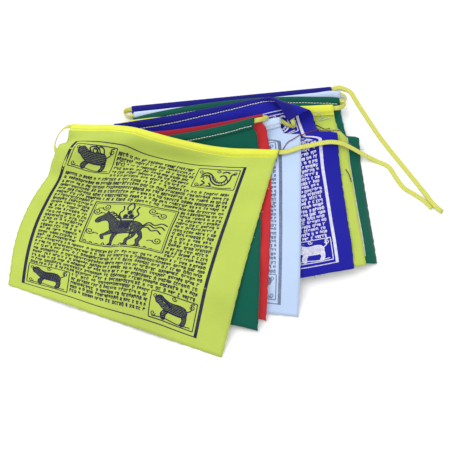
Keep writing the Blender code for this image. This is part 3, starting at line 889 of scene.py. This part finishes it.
def ink(name, colour, worn):
    """Block-printing ink: a little uneven, and lighter in fine random spots, as if rubbed."""
    s = Surface(name, 0.8)
    place = s.add("ShaderNodeTexCoord").outputs["Object"]
    noise = s.noise(place, 420.0, 4)
    broad = s.noise(place, 28.0, 3)
    mixed = s.math("ADD", s.math("MULTIPLY", noise, 0.55), s.math("MULTIPLY", broad, 0.45))
    s.join(s.ramp(mixed, 0.42, 0.77, colour, worn), "Base Color")
    s.bump(noise, 0.2, 0.00005)
    return s.material


def braid(name, colour):
    """Flat braid: slanting strands that cross along the middle, with painted shade in the hollows between
    strands and painted light on their raised parts.
    """
    s = Surface(name, 0.75, 0.3)
    place = s.add("ShaderNodeUVMap", uv_map="flat").outputs["UV"]
    parts = s.add("ShaderNodeSeparateXYZ", {"Vector": place})
    across, along = parts.outputs["X"], parts.outputs["Y"]
    half = s.math("ABSOLUTE", s.math("SUBTRACT", s.math("FRACT", s.math("MULTIPLY", across, 4.0)), 0.5))
    slant = s.math("ADD", along, s.math("MULTIPLY", half, 1.6))
    strand = s.math("ABSOLUTE", s.math("SUBTRACT", s.math("FRACT", slant), 0.5))
    noise = s.noise(place, 2.0, 5)
    # painted shade and light: the colour follows the strands' relief, darker in the hollows between them and
    # lighter where they stand up
    tone = s.math("ADD", s.math("MULTIPLY", strand, 1.1), s.math("MULTIPLY", noise, 0.5))
    s.join(s.ramp(tone, 0.2, 0.8, shade(colour, 0.72), shade(colour, 1.12)), "Base Color")
    s.bump(strand, 0.7, 0.0004)
    return s.material


def spun(name, colour):
    """Sewing thread."""
    s = Surface(name, 0.7, 0.3)
    place = s.add("ShaderNodeTexCoord").outputs["Object"]
    noise = s.noise(place, 900.0, 2)
    s.join(s.ramp(noise, 0.3, 0.7, shade(colour, 0.8), shade(colour, 1.1)), "Base Color")
    s.bump(noise, 0.4, 0.0001)
    return s.material


# ---------------------------------------------------------------- the block print, drawn in millimetres

# Print coordinates: x to the right, y down, from the print's own upper left corner.
PRINT_WIDE, PRINT_HIGH = 176.0, 186.0
SIDE_BORDER, FINE_LINE = 3.0, 0.9
ROW_PITCH, ROW_HIGH = 4.6, 3.3
STROKE = 0.85
CORNER_WIDE, CORNER_HIGH = 42.0, 24.0
CENTRE_WIDE, CENTRE_HIGH, CENTRE_UP = 81.0, 54.0, 4.0


def ribbon(points, width, longest=2.5):
    """Quads along a line, none longer than longest, so that they follow the cloth."""
    p = np.array(points, float)
    quads = []
    for a, b in zip(p, p[1:]):
        reach = math.hypot(*(b - a))
        if reach < 1e-6:
            continue
        side = np.array((a[1] - b[1], b[0] - a[0])) / reach * width / 2
        count = max(int(math.ceil(reach / longest)), 1)
        for k in range(count):
            c, d = a + (b - a) * k / count, a + (b - a) * (k + 1) / count
            quads.append((c - side, d - side, d + side, c + side))
    return quads


def curve(points, width, closed=False):
    """A ribbon along the smooth curve through the points."""
    p = [tuple(q) for q in points]
    p = p + p[:1] if closed else p
    return ribbon(smooth_route(p, 1.1), width)


def filled(points, pitch=0.55, cover=1.02):
    """A shape filled with level strips."""
    p = np.array(points, float)
    quads = []
    for y in np.arange(p[:, 1].min() + pitch / 2, p[:, 1].max(), pitch):
        cuts = []
        for a, b in zip(p, np.roll(p, -1, axis=0)):
            if (a[1] > y) != (b[1] > y):
                cuts.append(a[0] + (y - a[1]) / (b[1] - a[1]) * (b[0] - a[0]))
        for left, right in zip(sorted(cuts)[::2], sorted(cuts)[1::2]):
            quads += ribbon([(left, y), (right, y)], pitch * cover)
    return quads


def disc(x, y, radius):
    turn_by = np.linspace(0, 2 * math.pi, 13)[:-1]
    return filled([(x + radius * math.cos(a), y + radius * math.sin(a)) for a in turn_by])


def spiral(x, y, radius, turns, way=1, width=0.6):
    a = np.linspace(0, turns * 2 * math.pi, int(turns * 14) + 2)
    r = radius * (1 - a / a[-1] * 0.85)
    return ribbon(np.column_stack([x + way * r * np.cos(a), y + r * np.sin(a)]), width)


def box_lines(x, y, wide, high, width):
    p = [(x, y), (x + wide, y), (x + wide, y + high), (x, y + high), (x, y)]
    return ribbon(p, width)


def row_of_strokes(chance, left, right, y):
    """A row of made-up marks under short bars: no script, only its rhythm."""
    quads, x = [], left
    while x < right - 2.2:
        wide = chance.uniform(1.7, 2.9)
        quads += ribbon([(x, y), (x + wide * 0.9, y + chance.uniform(-0.12, 0.12))], STROKE * 1.2)
        for place in (0.25, 0.75)[: chance.choice((1, 2, 2))]:
            foot = chance.uniform(0.45, 1.0) * ROW_HIGH
            lean = chance.uniform(-0.5, 0.4)
            mid = (x + wide * place + lean * 0.2, y + foot * 0.55)
            quads += ribbon([(x + wide * place, y), mid, (x + wide * place + lean, y + foot)], STROKE)
        if chance.random() < 0.45:
            low = y + ROW_HIGH * chance.uniform(0.35, 0.75)
            end = (x + wide * 0.8, low + chance.uniform(-0.5, 0.5))
            quads += ribbon([(x + wide * 0.15, low), end], STROKE)
        if chance.random() < 0.25:
            quads += ribbon([(x + wide * 0.3, y - 1.0), (x + wide * 0.7, y - 0.5)], STROKE)
        x += wide + (chance.uniform(1.0, 2.4) if chance.random() < 0.3 else 0.1)
    return quads


# The pack horse, from its box's middle, x right and y up.
HORSE = (
    ((-27, 5.5), (-25.5, 8.8), (-22, 11.5), (-19.5, 13.8), (-18.6, 16.5), (-17.2, 14), (-14, 12), (-10.5, 9),
     (-7, 6.8), (0, 5.6), (7, 6.6), (12, 5.2), (14.2, 1.5), (13.2, -3), (9.5, -6.2), (4, -6.6), (-3, -6.8),
     (-9, -5.5), (-12.5, -2), (-14, 2.5), (-16.5, 6), (-20.5, 5.8), (-23.5, 3.8), (-26, 3.6)),
    ((-11.5, -3), (-15.5, -7), (-18.5, -9.5), (-16.5, -13.5), (-14.8, -13), (-15.8, -10), (-12.5, -8),
     (-8.5, -5.8)),
    ((-8.5, -5.6), (-9.2, -11), (-8.6, -16.5), (-10.4, -18.8), (-6.6, -18.8), (-6.8, -16),
     (-6, -10.5), (-4, -6.4)),
    ((6, -6), (6.5, -10), (4, -13.5), (4.2, -16.8), (2.4, -18.8), (6.2, -18.8), (6.4, -14.5),
     (9.5, -11), (11, -6.2)),
    ((11.5, -5), (14.2, -9), (12.6, -12.8), (13.8, -16.6), (12.4, -18.8), (16.2, -18.8),
     (15.8, -13.8), (17, -9.5),
     (14, -2.5)),
)
HORSE_HAIR = (
    ((14, 3), (18, 7.5), (23, 5.5), (28, 8.5), (33, 6.5)),
    ((14, 2), (18.5, 5), (23.5, 2.5), (28, 4.8), (32, 2)),
    ((14, 1), (18, 2), (22, -1), (26, 0.5), (30, -3)),
    ((-18, 13.5), (-14.5, 15.5), (-12.5, 13)),
    ((-16, 12.5), (-12, 14), (-9.5, 11)),
    ((-13.5, 11), (-9.5, 12), (-7, 8.5)),
    ((-11, 9.5), (-7.5, 10), (-5, 7)),
)
SADDLE = ((-5, 6.4), (-6, -0.5), (3, -1.5), (4.6, 6.2))
FLAMES = (
    ((-6, 9), (-8.5, 14), (-6, 18), (-7, 22)),
    ((5, 9), (7.5, 14), (5, 18), (6.2, 22)),
    ((-2.5, 17.5), (-3.5, 21), (-0.5, 25.5), (2, 21), (1.2, 17.5)),
)

# Corner beasts, in a box 42 by 24 from its middle: a body line, then what tells them apart.
BEAST = (
    ((-14, 2), (-15, 6), (-11, 8.5), (-7, 6), (-2, 4.5), (5, 5), (10, 4), (12, 0), (9, -3), (2, -3.5),
     (-5, -3),
     (-9, -1), (-11.5, 1)),
    ((-7, -3), (-9, -6), (-8, -9.5), (-5.5, -9.5), (-5, -6), (-3.5, -3.3)),
    ((8, -3), (9, -6), (7.5, -9.5), (10.5, -9.5), (12, -6), (11.5, -1)),
    ((11.5, 2), (15, 5), (14, 9), (17, 10)),
)
WINGS = (
    ((-3, 4.5), (-6, 9), (-2, 10.5), (3, 9.5), (6, 5)),
    ((-1, 4.8), (-2.5, 8), (1, 8.6), (4, 5)),
    ((1.5, 5), (3, 10.8), (8, 9.5), (10, 4.5)),
)
COILS = (
    ((-16, 3), (-12, 7), (-6, 5), (-3, 0), (2, -4), (8, -3), (10, 2), (6, 5), (3, 3)),
    ((-16, 0.5), (-11, 4), (-7, 2), (-4, -3), (2, -7), (10, -6), (13.5, 0), (14, 6), (18, 7)),
    ((-14, -3), (-10, -6), (-13, -9)),
    ((-6, -5), (-3, -9), (-7, -9.5)),
    ((4, 8), (8, 9.5), (12, 8)),
)


HATCH, HATCH_COVER = 1.3, 0.88  # the lines that shade a figure's body, and their share of its area


def figure(lines, x, y, width, closed=(), size=1.0):
    """Lines about a middle point; the closed ones are shaded inside."""
    quads = []
    for k, line in enumerate(lines):
        points = [(x + a * size, y - b * size) for a, b in line]
        quads += curve(points, width, closed=k in closed)
        if k in closed:
            quads += filled(smooth_route(points + points[:1], 1.1), HATCH, HATCH_COVER)
    return quads


def horse(x, y, size=1.18):
    """The pack horse with its load and flames, clouds round it and grass below."""
    def at(dx, dy):
        return x + dx * size, y - dy * size

    quads = figure(HORSE, x, y, 0.9, range(len(HORSE)), size)
    quads += figure(HORSE_HAIR, x, y, 1.5, size=size) + figure(FLAMES, x, y, 1.5, size=size)
    quads += filled([at(a, b) for a, b in SADDLE]) + box_lines(*at(-5.5, 9), 12.5, 2.4, 1.0)
    for dx, dy in ((-2.6, 11.4), (2.4, 11.4), (-0.1, 15.6)):
        quads += disc(*at(dx, dy), 2.6) + spiral(*at(dx, dy), 3.6, 0.95, width=0.6)
    for dx, dy, way in ((-28, 15, 1), (-21, 20, -1), (26, 17, -1), (17, 20, 1), (-28, -7, 1), (29, -10, -1)):
        a, b = at(dx, dy)
        quads += spiral(a, b, 4.2, 1.6, way, 1.0)
        quads += curve([(a + way * 3, b + 2), (a + way * 6.5, b + 1), (a + way * 9, b + 2.4)], 0.9)
    for k in range(12):
        left, foot = x - 36 + k * 6, y + 23
        quads += curve([(left, foot), (left + 1.5, foot - 2.9 + k % 3), (left + 3.2, foot)], 0.9)
    return quads


def beast(kind, x, y):
    """kind 0 is winged, 1 coiled, 2 striped and 3 curly-maned."""
    if kind == 1:
        quads = figure(COILS, x, y, 1.7)
        for k in range(11):
            angle = k * 0.62
            a, b = x - 13 + 2.4 * k, y - 4 * math.sin(angle)
            quads += curve([(a, b - 1), (a + 1, b + 1.6)], 0.9)
    else:
        quads = figure(BEAST, x, y, 1.0, closed=(0, 1, 2), size=1.1)
    if kind == 0:
        quads += figure(WINGS, x, y, 1.3)
    if kind == 2:
        for k in range(8):
            left = x - 6 + 2.2 * k
            quads += curve([(left, y - 5.6), (left + 0.8, y - 2), (left, y + 2.5)], 1.3)
    if kind == 3:
        for k in range(6):
            quads += spiral(x - 13 + 2 * k, y - 8.5 + 1.1 * k, 2.0, 1.1, width=0.9)
    for dx, dy, way in ((-17, 8, 1), (17, 8, -1), (-17, -8, 1), (0, 10, 1)):
        quads += spiral(x + dx, y - dy, 2.4, 1.3, way, 0.8)
    return quads + curve([(x - 18, y + 10.4), (x - 6, y + 9.6), (x + 6, y + 10.6), (x + 18, y + 9.8)], 0.9)


def block_print(seed):
    """The whole print: borders, corner boxes with beasts, the pack horse, and rows of strokes."""
    chance = random.Random(seed)
    wide, high = PRINT_WIDE, PRINT_HIGH
    quads = []
    for x in (SIDE_BORDER / 2, wide - SIDE_BORDER / 2):
        quads += ribbon([(x, 0), (x, high)], SIDE_BORDER)
    for y in (0.5, high - 0.5):
        quads += ribbon([(0, y), (wide, y)], FINE_LINE)
    left, right = SIDE_BORDER + 2.0, wide - SIDE_BORDER - 2.0
    boxes = [(left, 4.2), (right - CORNER_WIDE, 4.2), (left, high - 4.2 - CORNER_HIGH),
             (right - CORNER_WIDE, high - 4.2 - CORNER_HIGH)]
    for kind, (x, y) in enumerate(boxes):
        quads += box_lines(x, y, CORNER_WIDE, CORNER_HIGH, FINE_LINE)
        quads += beast(kind, x + CORNER_WIDE / 2, y + CORNER_HIGH / 2)
    x, y = (wide - CENTRE_WIDE) / 2, (high - CENTRE_HIGH) / 2 - CENTRE_UP
    quads += box_lines(x, y, CENTRE_WIDE, CENTRE_HIGH, 1.1)
    quads += box_lines(x + 1.8, y + 1.8, CENTRE_WIDE - 3.6, CENTRE_HIGH - 3.6, 0.5)
    quads += horse(wide / 2 - 2, y + CENTRE_HIGH / 2 + 2.5)
    inner = [(left, right)]
    for top in np.arange(5.6, high - 6.5, ROW_PITCH):
        foot = top + ROW_HIGH + 0.6
        spans = inner
        if top < 4.2 + CORNER_HIGH + 0.8 or foot > high - 4.2 - CORNER_HIGH - 0.8:
            spans = [(left + CORNER_WIDE + 1.5, right - CORNER_WIDE - 1.5)]
        elif foot > y - 0.8 and top < y + CENTRE_HIGH + 0.8:
            spans = [(left, x - 1.5), (x + CENTRE_WIDE + 1.5, right)]
        for a, b in spans:
            quads += row_of_strokes(chance, a + 0.6, b, top + 0.9)
    return np.array(quads)


def print_on(cloth, quads, left, top, off, name, mirrored=False):
    """Lays the print's quads on a flag's body; off is the height above the cloth's middle."""
    x, y = quads[..., 0].ravel(), quads[..., 1].ravel()
    x = (PRINT_WIDE - x if mirrored else x) + left
    points = cloth.on_body(x, y + top, np.full(len(x), off))
    faces = np.arange(len(points)).reshape(-1, 4)
    faces = faces[:, ::-1] if mirrored else faces
    return mesh_object(name, points, faces[:, ::-1])


# ---------------------------------------------------------------- thread

THREAD = 0.38  # a sewing thread's radius
STITCH_PITCH, STITCH_LONG = 3.1, 2.2
STITCH_LIFT = 0.35  # how far the thread stands off the seam


def ring_faces(count, sides):
    """The faces of a closed tube with this many rings of corners."""
    faces = []
    for i in range(count - 1):
        for k in range(sides):
            n = (k + 1) % sides
            faces.append((i * sides + k, i * sides + n, (i + 1) * sides + n, (i + 1) * sides + k))
    return faces + [tuple(range(sides))[::-1], tuple(range((count - 1) * sides, count * sides))]


def tube(points, radius, sides=5):
    """Corners and quads of a thin round tube along a line."""
    p = np.array(points, float)
    way = np.gradient(p, axis=0)
    way /= np.linalg.norm(way, axis=1, keepdims=True) + 1e-12
    side = np.cross(way, (0.13, 0.21, 0.97))
    side /= np.linalg.norm(side, axis=1, keepdims=True)
    over = np.cross(side, way)
    a = np.linspace(0, 2 * math.pi, sides + 1)[:-1]
    ring = side[:, None] * np.cos(a)[None, :, None] + over[:, None] * np.sin(a)[None, :, None]
    corners = (p[:, None] + ring * radius).reshape(-1, 3)
    return corners, ring_faces(len(p), sides)


def joined(name, tubes):
    points, faces, start = [], [], 0
    for corners, quads in tubes:
        points.append(corners)
        faces += [tuple(start + i for i in quad) for quad in quads]
        start += len(corners)
    return mesh_object(name, np.concatenate(points), faces)


def stitches(cloth, s):
    """A row of stitches along the hem's seam, each dipping into the cloth at its ends."""
    flag, tubes = cloth.flag, []
    chance = random.Random(flag.number * 7)
    lift_off = SEAM_RISE + THIN / 2 + STITCH_LIFT
    for x in np.arange(3, WIDTH - 3, STITCH_PITCH):
        at = (x + np.array((0, 0.15, 0.5, 0.85, 1)) * STITCH_LONG) / WIDTH
        down = s + chance.uniform(-0.15, 0.15) + np.zeros(5)
        n = lift_off + np.array((-0.3, 0.1, 0.2, 0.1, -0.3))
        tubes.append(tube(cloth.put(at, down, n), THREAD))
    return joined(f"flag_{flag.number:02d}_stitches", tubes)


INSET = 0.6  # a frayed thread starts this far inside the cut edge


def edge_threads(cloth, count):
    """Short frayed ends standing out of the cut edges."""
    chance = random.Random(cloth.flag.number * 13)
    tubes = []
    for _ in range(count):
        length = chance.uniform(1.0, 4.5)
        if chance.random() < 0.45:
            x, s, way = chance.uniform(2, WIDTH - 2), DROP - 1, (chance.uniform(-0.4, 0.4), -1)
        else:
            right = chance.random() < 0.6
            x, s = WIDTH - INSET if right else INSET, chance.uniform(15, DROP - 5)
            way = (1 if right else -1, chance.uniform(-0.5, 0.3))
        start = cloth.on_body(np.array([x]), np.array([s]), [0.0])[0]
        bend = chance.uniform(-1, 1)
        line = []
        for t in np.linspace(0, 1, 5):
            out = np.array((way[0] + bend * t * 0.6, way[1] + bend * t * 0.5))
            line.append(start + np.array((*(unit(out) * length * t), 0)))
        line = np.array(line)
        line[:, 2] = np.maximum(start[2] - np.linspace(0, 1, 5) * chance.uniform(0, 0.4), 0.15)
        tubes.append(tube(line, 0.11, 4))
    return joined(f"flag_{cloth.flag.number:02d}_fray", tubes)


# ---------------------------------------------------------------- the visible pieces

WIDTH = 216.0  # a flag's cut width
THIN = 0.42  # visible cloth thickness
UV_SIZE = 240.0  # millimetres across one UV unit
THREADS_PER_MM = 2.2
FINE_ACROSS, FINE_DOWN = 73, 76  # the smoothed lift's columns and rows
BODY_COLUMNS, BODY_ROWS = 60, 58
FINE_TURN = 23  # rings in a turn of the cord
RIPPLE = 0.004  # a wave's height as a share of its length

# A soft ridge or trough on one flag, from start to end in millimetres across and down it.
Crease = namedtuple("Crease", "flag start end height width")
CREASES = (
    Crease(1, (10, 46), (118, 52), 3.2, 10),
    Crease(1, (30, 70), (60, 180), 1.4, 14),
    Crease(1, (95, 30), (150, 60), 1.6, 12),
    Crease(1, (120, 110), (190, 95), 1.3, 12),
    Crease(1, (150, 150), (205, 190), 1.2, 10),
    Crease(5, (170, 70), (205, 150), 1.2, 9),
    Crease(7, (180, 90), (208, 200), 1.0, 8),
    Crease(9, (185, 60), (210, 120), 0.6, 7),
)

HEM_PATH = 21.0  # from the raw edge round the hem to its seam

# Each cloth's dye, on the printed face and on the turned hem.
CLOTH_COLOURS = {
    "yellow": (linear(176, 194, 84), linear(214, 220, 72)),
    "green": (linear(0, 84, 68), linear(0, 78, 64)),
    "red": (linear(184, 40, 46), linear(150, 24, 40)),
    "white": (linear(180, 200, 230), linear(192, 210, 236)),
    "blue": (linear(22, 22, 146), linear(18, 16, 118)),
}

# Which flags show their print, how far it lies from the left edge, and its ink.
Print = namedtuple("Print", "flag left ink mirrored")
PRINTS = (
    Print(1, 13, "dark", False),
    Print(3, 16, "dark", False),
    Print(4, 23, "faint", True),
    Print(5, 25, "white", False),
    Print(7, 29, "white", False),
    Print(9, 20, "dark", False),
)
PRINT_TOP = 17.0

FRAYED = 18  # frayed ends a flag
THREAD_COLOURS = {"white": linear(226, 228, 222), "yellow": linear(206, 212, 96)}
LOOSE_RADIUS = 0.42
Loose = namedtuple("Loose", "name colour up route")
LOOSE_THREADS = (
    Loose("thread_pale", linear(190, 200, 190), 0.8,
          ((89, 118), (95, 121), (100.5, 119), (97, 115.5), (109, 118))),
    Loose("thread_dark", linear(40, 40, 60), 0.8, ((90, 112), (97, 109), (103, 104), (108, 104))),
    Loose("thread_red", linear(110, 20, 40), 0.8,
          ((56, 76), (63, 86), (69, 89), (79, 94), (88, 96), (99, 99), (110, 98), (118.5, 97))),
    Loose("thread_short", linear(40, 40, 60), 0.8, ((122, 59), (125, 53), (127, 45))),
)

CAMERA_ELEVATION, CAMERA_AWAY, CAMERA_LENS = 68.0, 0.770, 61.3
TARGET = to_world((0, 0, 0))

heap, run, channels, lifts = lay_all()

# The camera stands over the front of the pile.
data = bpy.data.cameras.new("camera")
data.lens, data.sensor_width = CAMERA_LENS, 36.0
camera = bpy.data.objects.new("camera", data)
bpy.context.collection.objects.link(camera)
tilt = math.radians(CAMERA_ELEVATION)
camera.location = TARGET + CAMERA_AWAY * np.array((0, -math.cos(tilt), math.sin(tilt)))
camera.rotation_euler = Euler((math.pi / 2 - tilt, 0, 0))
bpy.context.scene.camera = camera

# The cord's two free ends, then its run through the hems.
cord_surface = braid("cord_braid", linear(206, 208, 96))


STRAND = 1.9  # millimetres from one strand of the braid to the next
FINE_SECTION = tuple(
    (np.sign(math.cos(a)) * abs(math.cos(a)) ** 0.7, np.sign(math.sin(a)) * abs(math.sin(a)) ** 0.8)
    for a in np.arange(12) * math.pi / 6
)


FINE_STEP = 2.5  # between the rings of a free end


def free_end(name, node, channel_end, route, under):
    """One free end of the cord, rounder than the solid and lying on the pile."""
    end, way = channel_end
    line = tail_line(end, way, route, under)
    fine = smooth_route(line[::2] if len(line) % 2 else np.vstack([line[:-1:2], line[-1:]]), FINE_STEP)
    fine[:, 2] = np.maximum(fine[:, 2], CORD_THICK / 2 + 0.05)
    _, side, over = frame_along(fine)
    rings = [fine + side * a * CORD_WIDE / 2 + over * b * CORD_THICK / 2 for a, b in FINE_SECTION]
    points = np.stack(rings, axis=1).reshape(-1, 3)
    sides = len(FINE_SECTION)
    obj = mesh_object(name, points, [f[::-1] for f in ring_faces(len(fine), sides)])
    along = np.concatenate([[0], np.cumsum(np.linalg.norm(np.diff(fine, axis=0), axis=1))])
    around = np.tile(np.arange(sides) / sides, len(fine))
    add_uv(obj, np.column_stack([around, np.repeat(along / STRAND, sides)]))
    dress(obj, cord_surface, "cord", node)
    lay_on(under, around_cord(line, np.zeros(len(line))))
    return line


surface = np.full(heap.shape, BARE)
front_line = free_end("cord_front_end", "cord_tail_front", leaving(channels[-1]), TAIL_FRONT, heap.copy())
lay_on(surface, around_cord(front_line, np.zeros(len(front_line))))
free_end("cord_back_end", "cord_tail_back", entering(channels[0]), TAIL_BACK, surface)

run.faces.new(channels[0].first[::-1])
run.faces.new(channels[-1].last)
bmesh.ops.recalc_face_normals(run, faces=run.faces[:])
run.verts.index_update()
run_points = np.array([v.co[:] for v in run.verts])
cord_run = mesh_object("cord_through_hems", run_points, [[v.index for v in f.verts] for f in run.faces])
run.free()
along_run = np.column_stack([run_points[:, 1] * 0.2, run_points[:, 0] / STRAND])
add_uv(cord_run, along_run)
dress(cord_run, cord_surface, "cord", "cord_run")

# The flags, from the lowest to the top one, each with its seam and fray, and a print on those listed in
# PRINTS.
settled = np.full(heap.shape, BARE)
ink_surfaces = {
    "dark": ink("ink_dark", linear(28, 28, 58), linear(58, 60, 78)),
    "white": ink("ink_white", linear(214, 214, 228), linear(150, 150, 190)),
    "faint": ink("ink_faint", linear(96, 104, 132), linear(132, 144, 176)),
}
ink_slots = {"dark": "print_dark", "white": "print_white", "faint": "cloth_white"}
threads = {name: spun(f"thread_{name}", colour) for name, colour in THREAD_COLOURS.items()}
weaves = {name: woven(f"cotton_{name}", *dyes, 0.06 if name == "white" else 0.16)
          for name, dyes in CLOTH_COLOURS.items()}
frays = {name: spun(f"fray_{name}", dye) for name, (dye, _) in CLOTH_COLOURS.items()}
for flag in FLAGS:
    fine = FineLift(lifts[flag.number])
    settle(flag, fine, settled)
    cloth = Cloth(flag, fine)
    body = cloth.make()
    node = f"flag_{flag.number:02d}_{flag.colour}"
    slot = f"cloth_{flag.colour}"
    dress(body, weaves[flag.colour], slot, node)
    thread = threads["yellow" if flag.colour == "yellow" else "white"]
    dress(stitches(cloth, STITCH), thread, "thread")
    dress(edge_threads(cloth, FRAYED), frays[flag.colour], slot)
    for chosen in PRINTS:
        if chosen.flag == flag.number:
            side = 1 if flag.face_up or chosen.mirrored else -1
            printed = print_on(cloth, block_print(3), chosen.left, PRINT_TOP, side * (THIN / 2 + 0.09),
                               f"flag_{flag.number:02d}_print", chosen.mirrored)
            dress(printed, ink_surfaces[chosen.ink], ink_slots[chosen.ink])

# Loose threads lying on the pile.
for loose in LOOSE_THREADS:
    line = smooth_route(loose.route, 1.0)
    path = np.column_stack([line, settled[cell_of(line)] + loose.up])
    strand = joined(loose.name, [tube(path, LOOSE_RADIUS)])
    dress(strand, spun(loose.name, loose.colour), "thread")

# Floor and light.
floor_size = 6.0
bpy.ops.mesh.primitive_plane_add(size=floor_size, location=(0, 0, -0.0002))
floor = bpy.context.object
floor.name = "floor"
floor_surface = Surface("floor", 0.9)
paper = floor_surface.add("ShaderNodeTexNoise", Scale=3.0, Detail=2)
pale, paler = (0.93,) * 3 + (1,), (0.95,) * 3 + (1,)
floor_surface.join(floor_surface.ramp(paper.outputs["Fac"], 0.2, 0.8, pale, paler), "Base Color")
floor.data.materials.append(floor_surface.material)

world = bpy.data.worlds.new("studio")
world.use_nodes = True
world.node_tree.nodes["Background"].inputs["Color"].default_value = (1, 1, 1, 1)
world.node_tree.nodes["Background"].inputs["Strength"].default_value = 0.75
bpy.context.scene.world = world
Lamp = namedtuple("Lamp", "name size power place turn")
LAMPS = (
    Lamp("key", 1.2, 14, (-0.7, 0.5, 1.3), (-21, -28, 0)),
    Lamp("fill", 1.6, 7, (0.9, -0.6, 1.2), (27, 37, 0)),
)
for lamp in LAMPS:
    light = bpy.data.lights.new(lamp.name, "AREA")
    light.size, light.energy = lamp.size, lamp.power
    obj = bpy.data.objects.new(lamp.name, light)
    obj.location = lamp.place
    obj.rotation_euler = [math.radians(a) for a in lamp.turn]
    bpy.context.collection.objects.link(obj)
bpy.context.scene.view_settings.view_transform = "Standard"
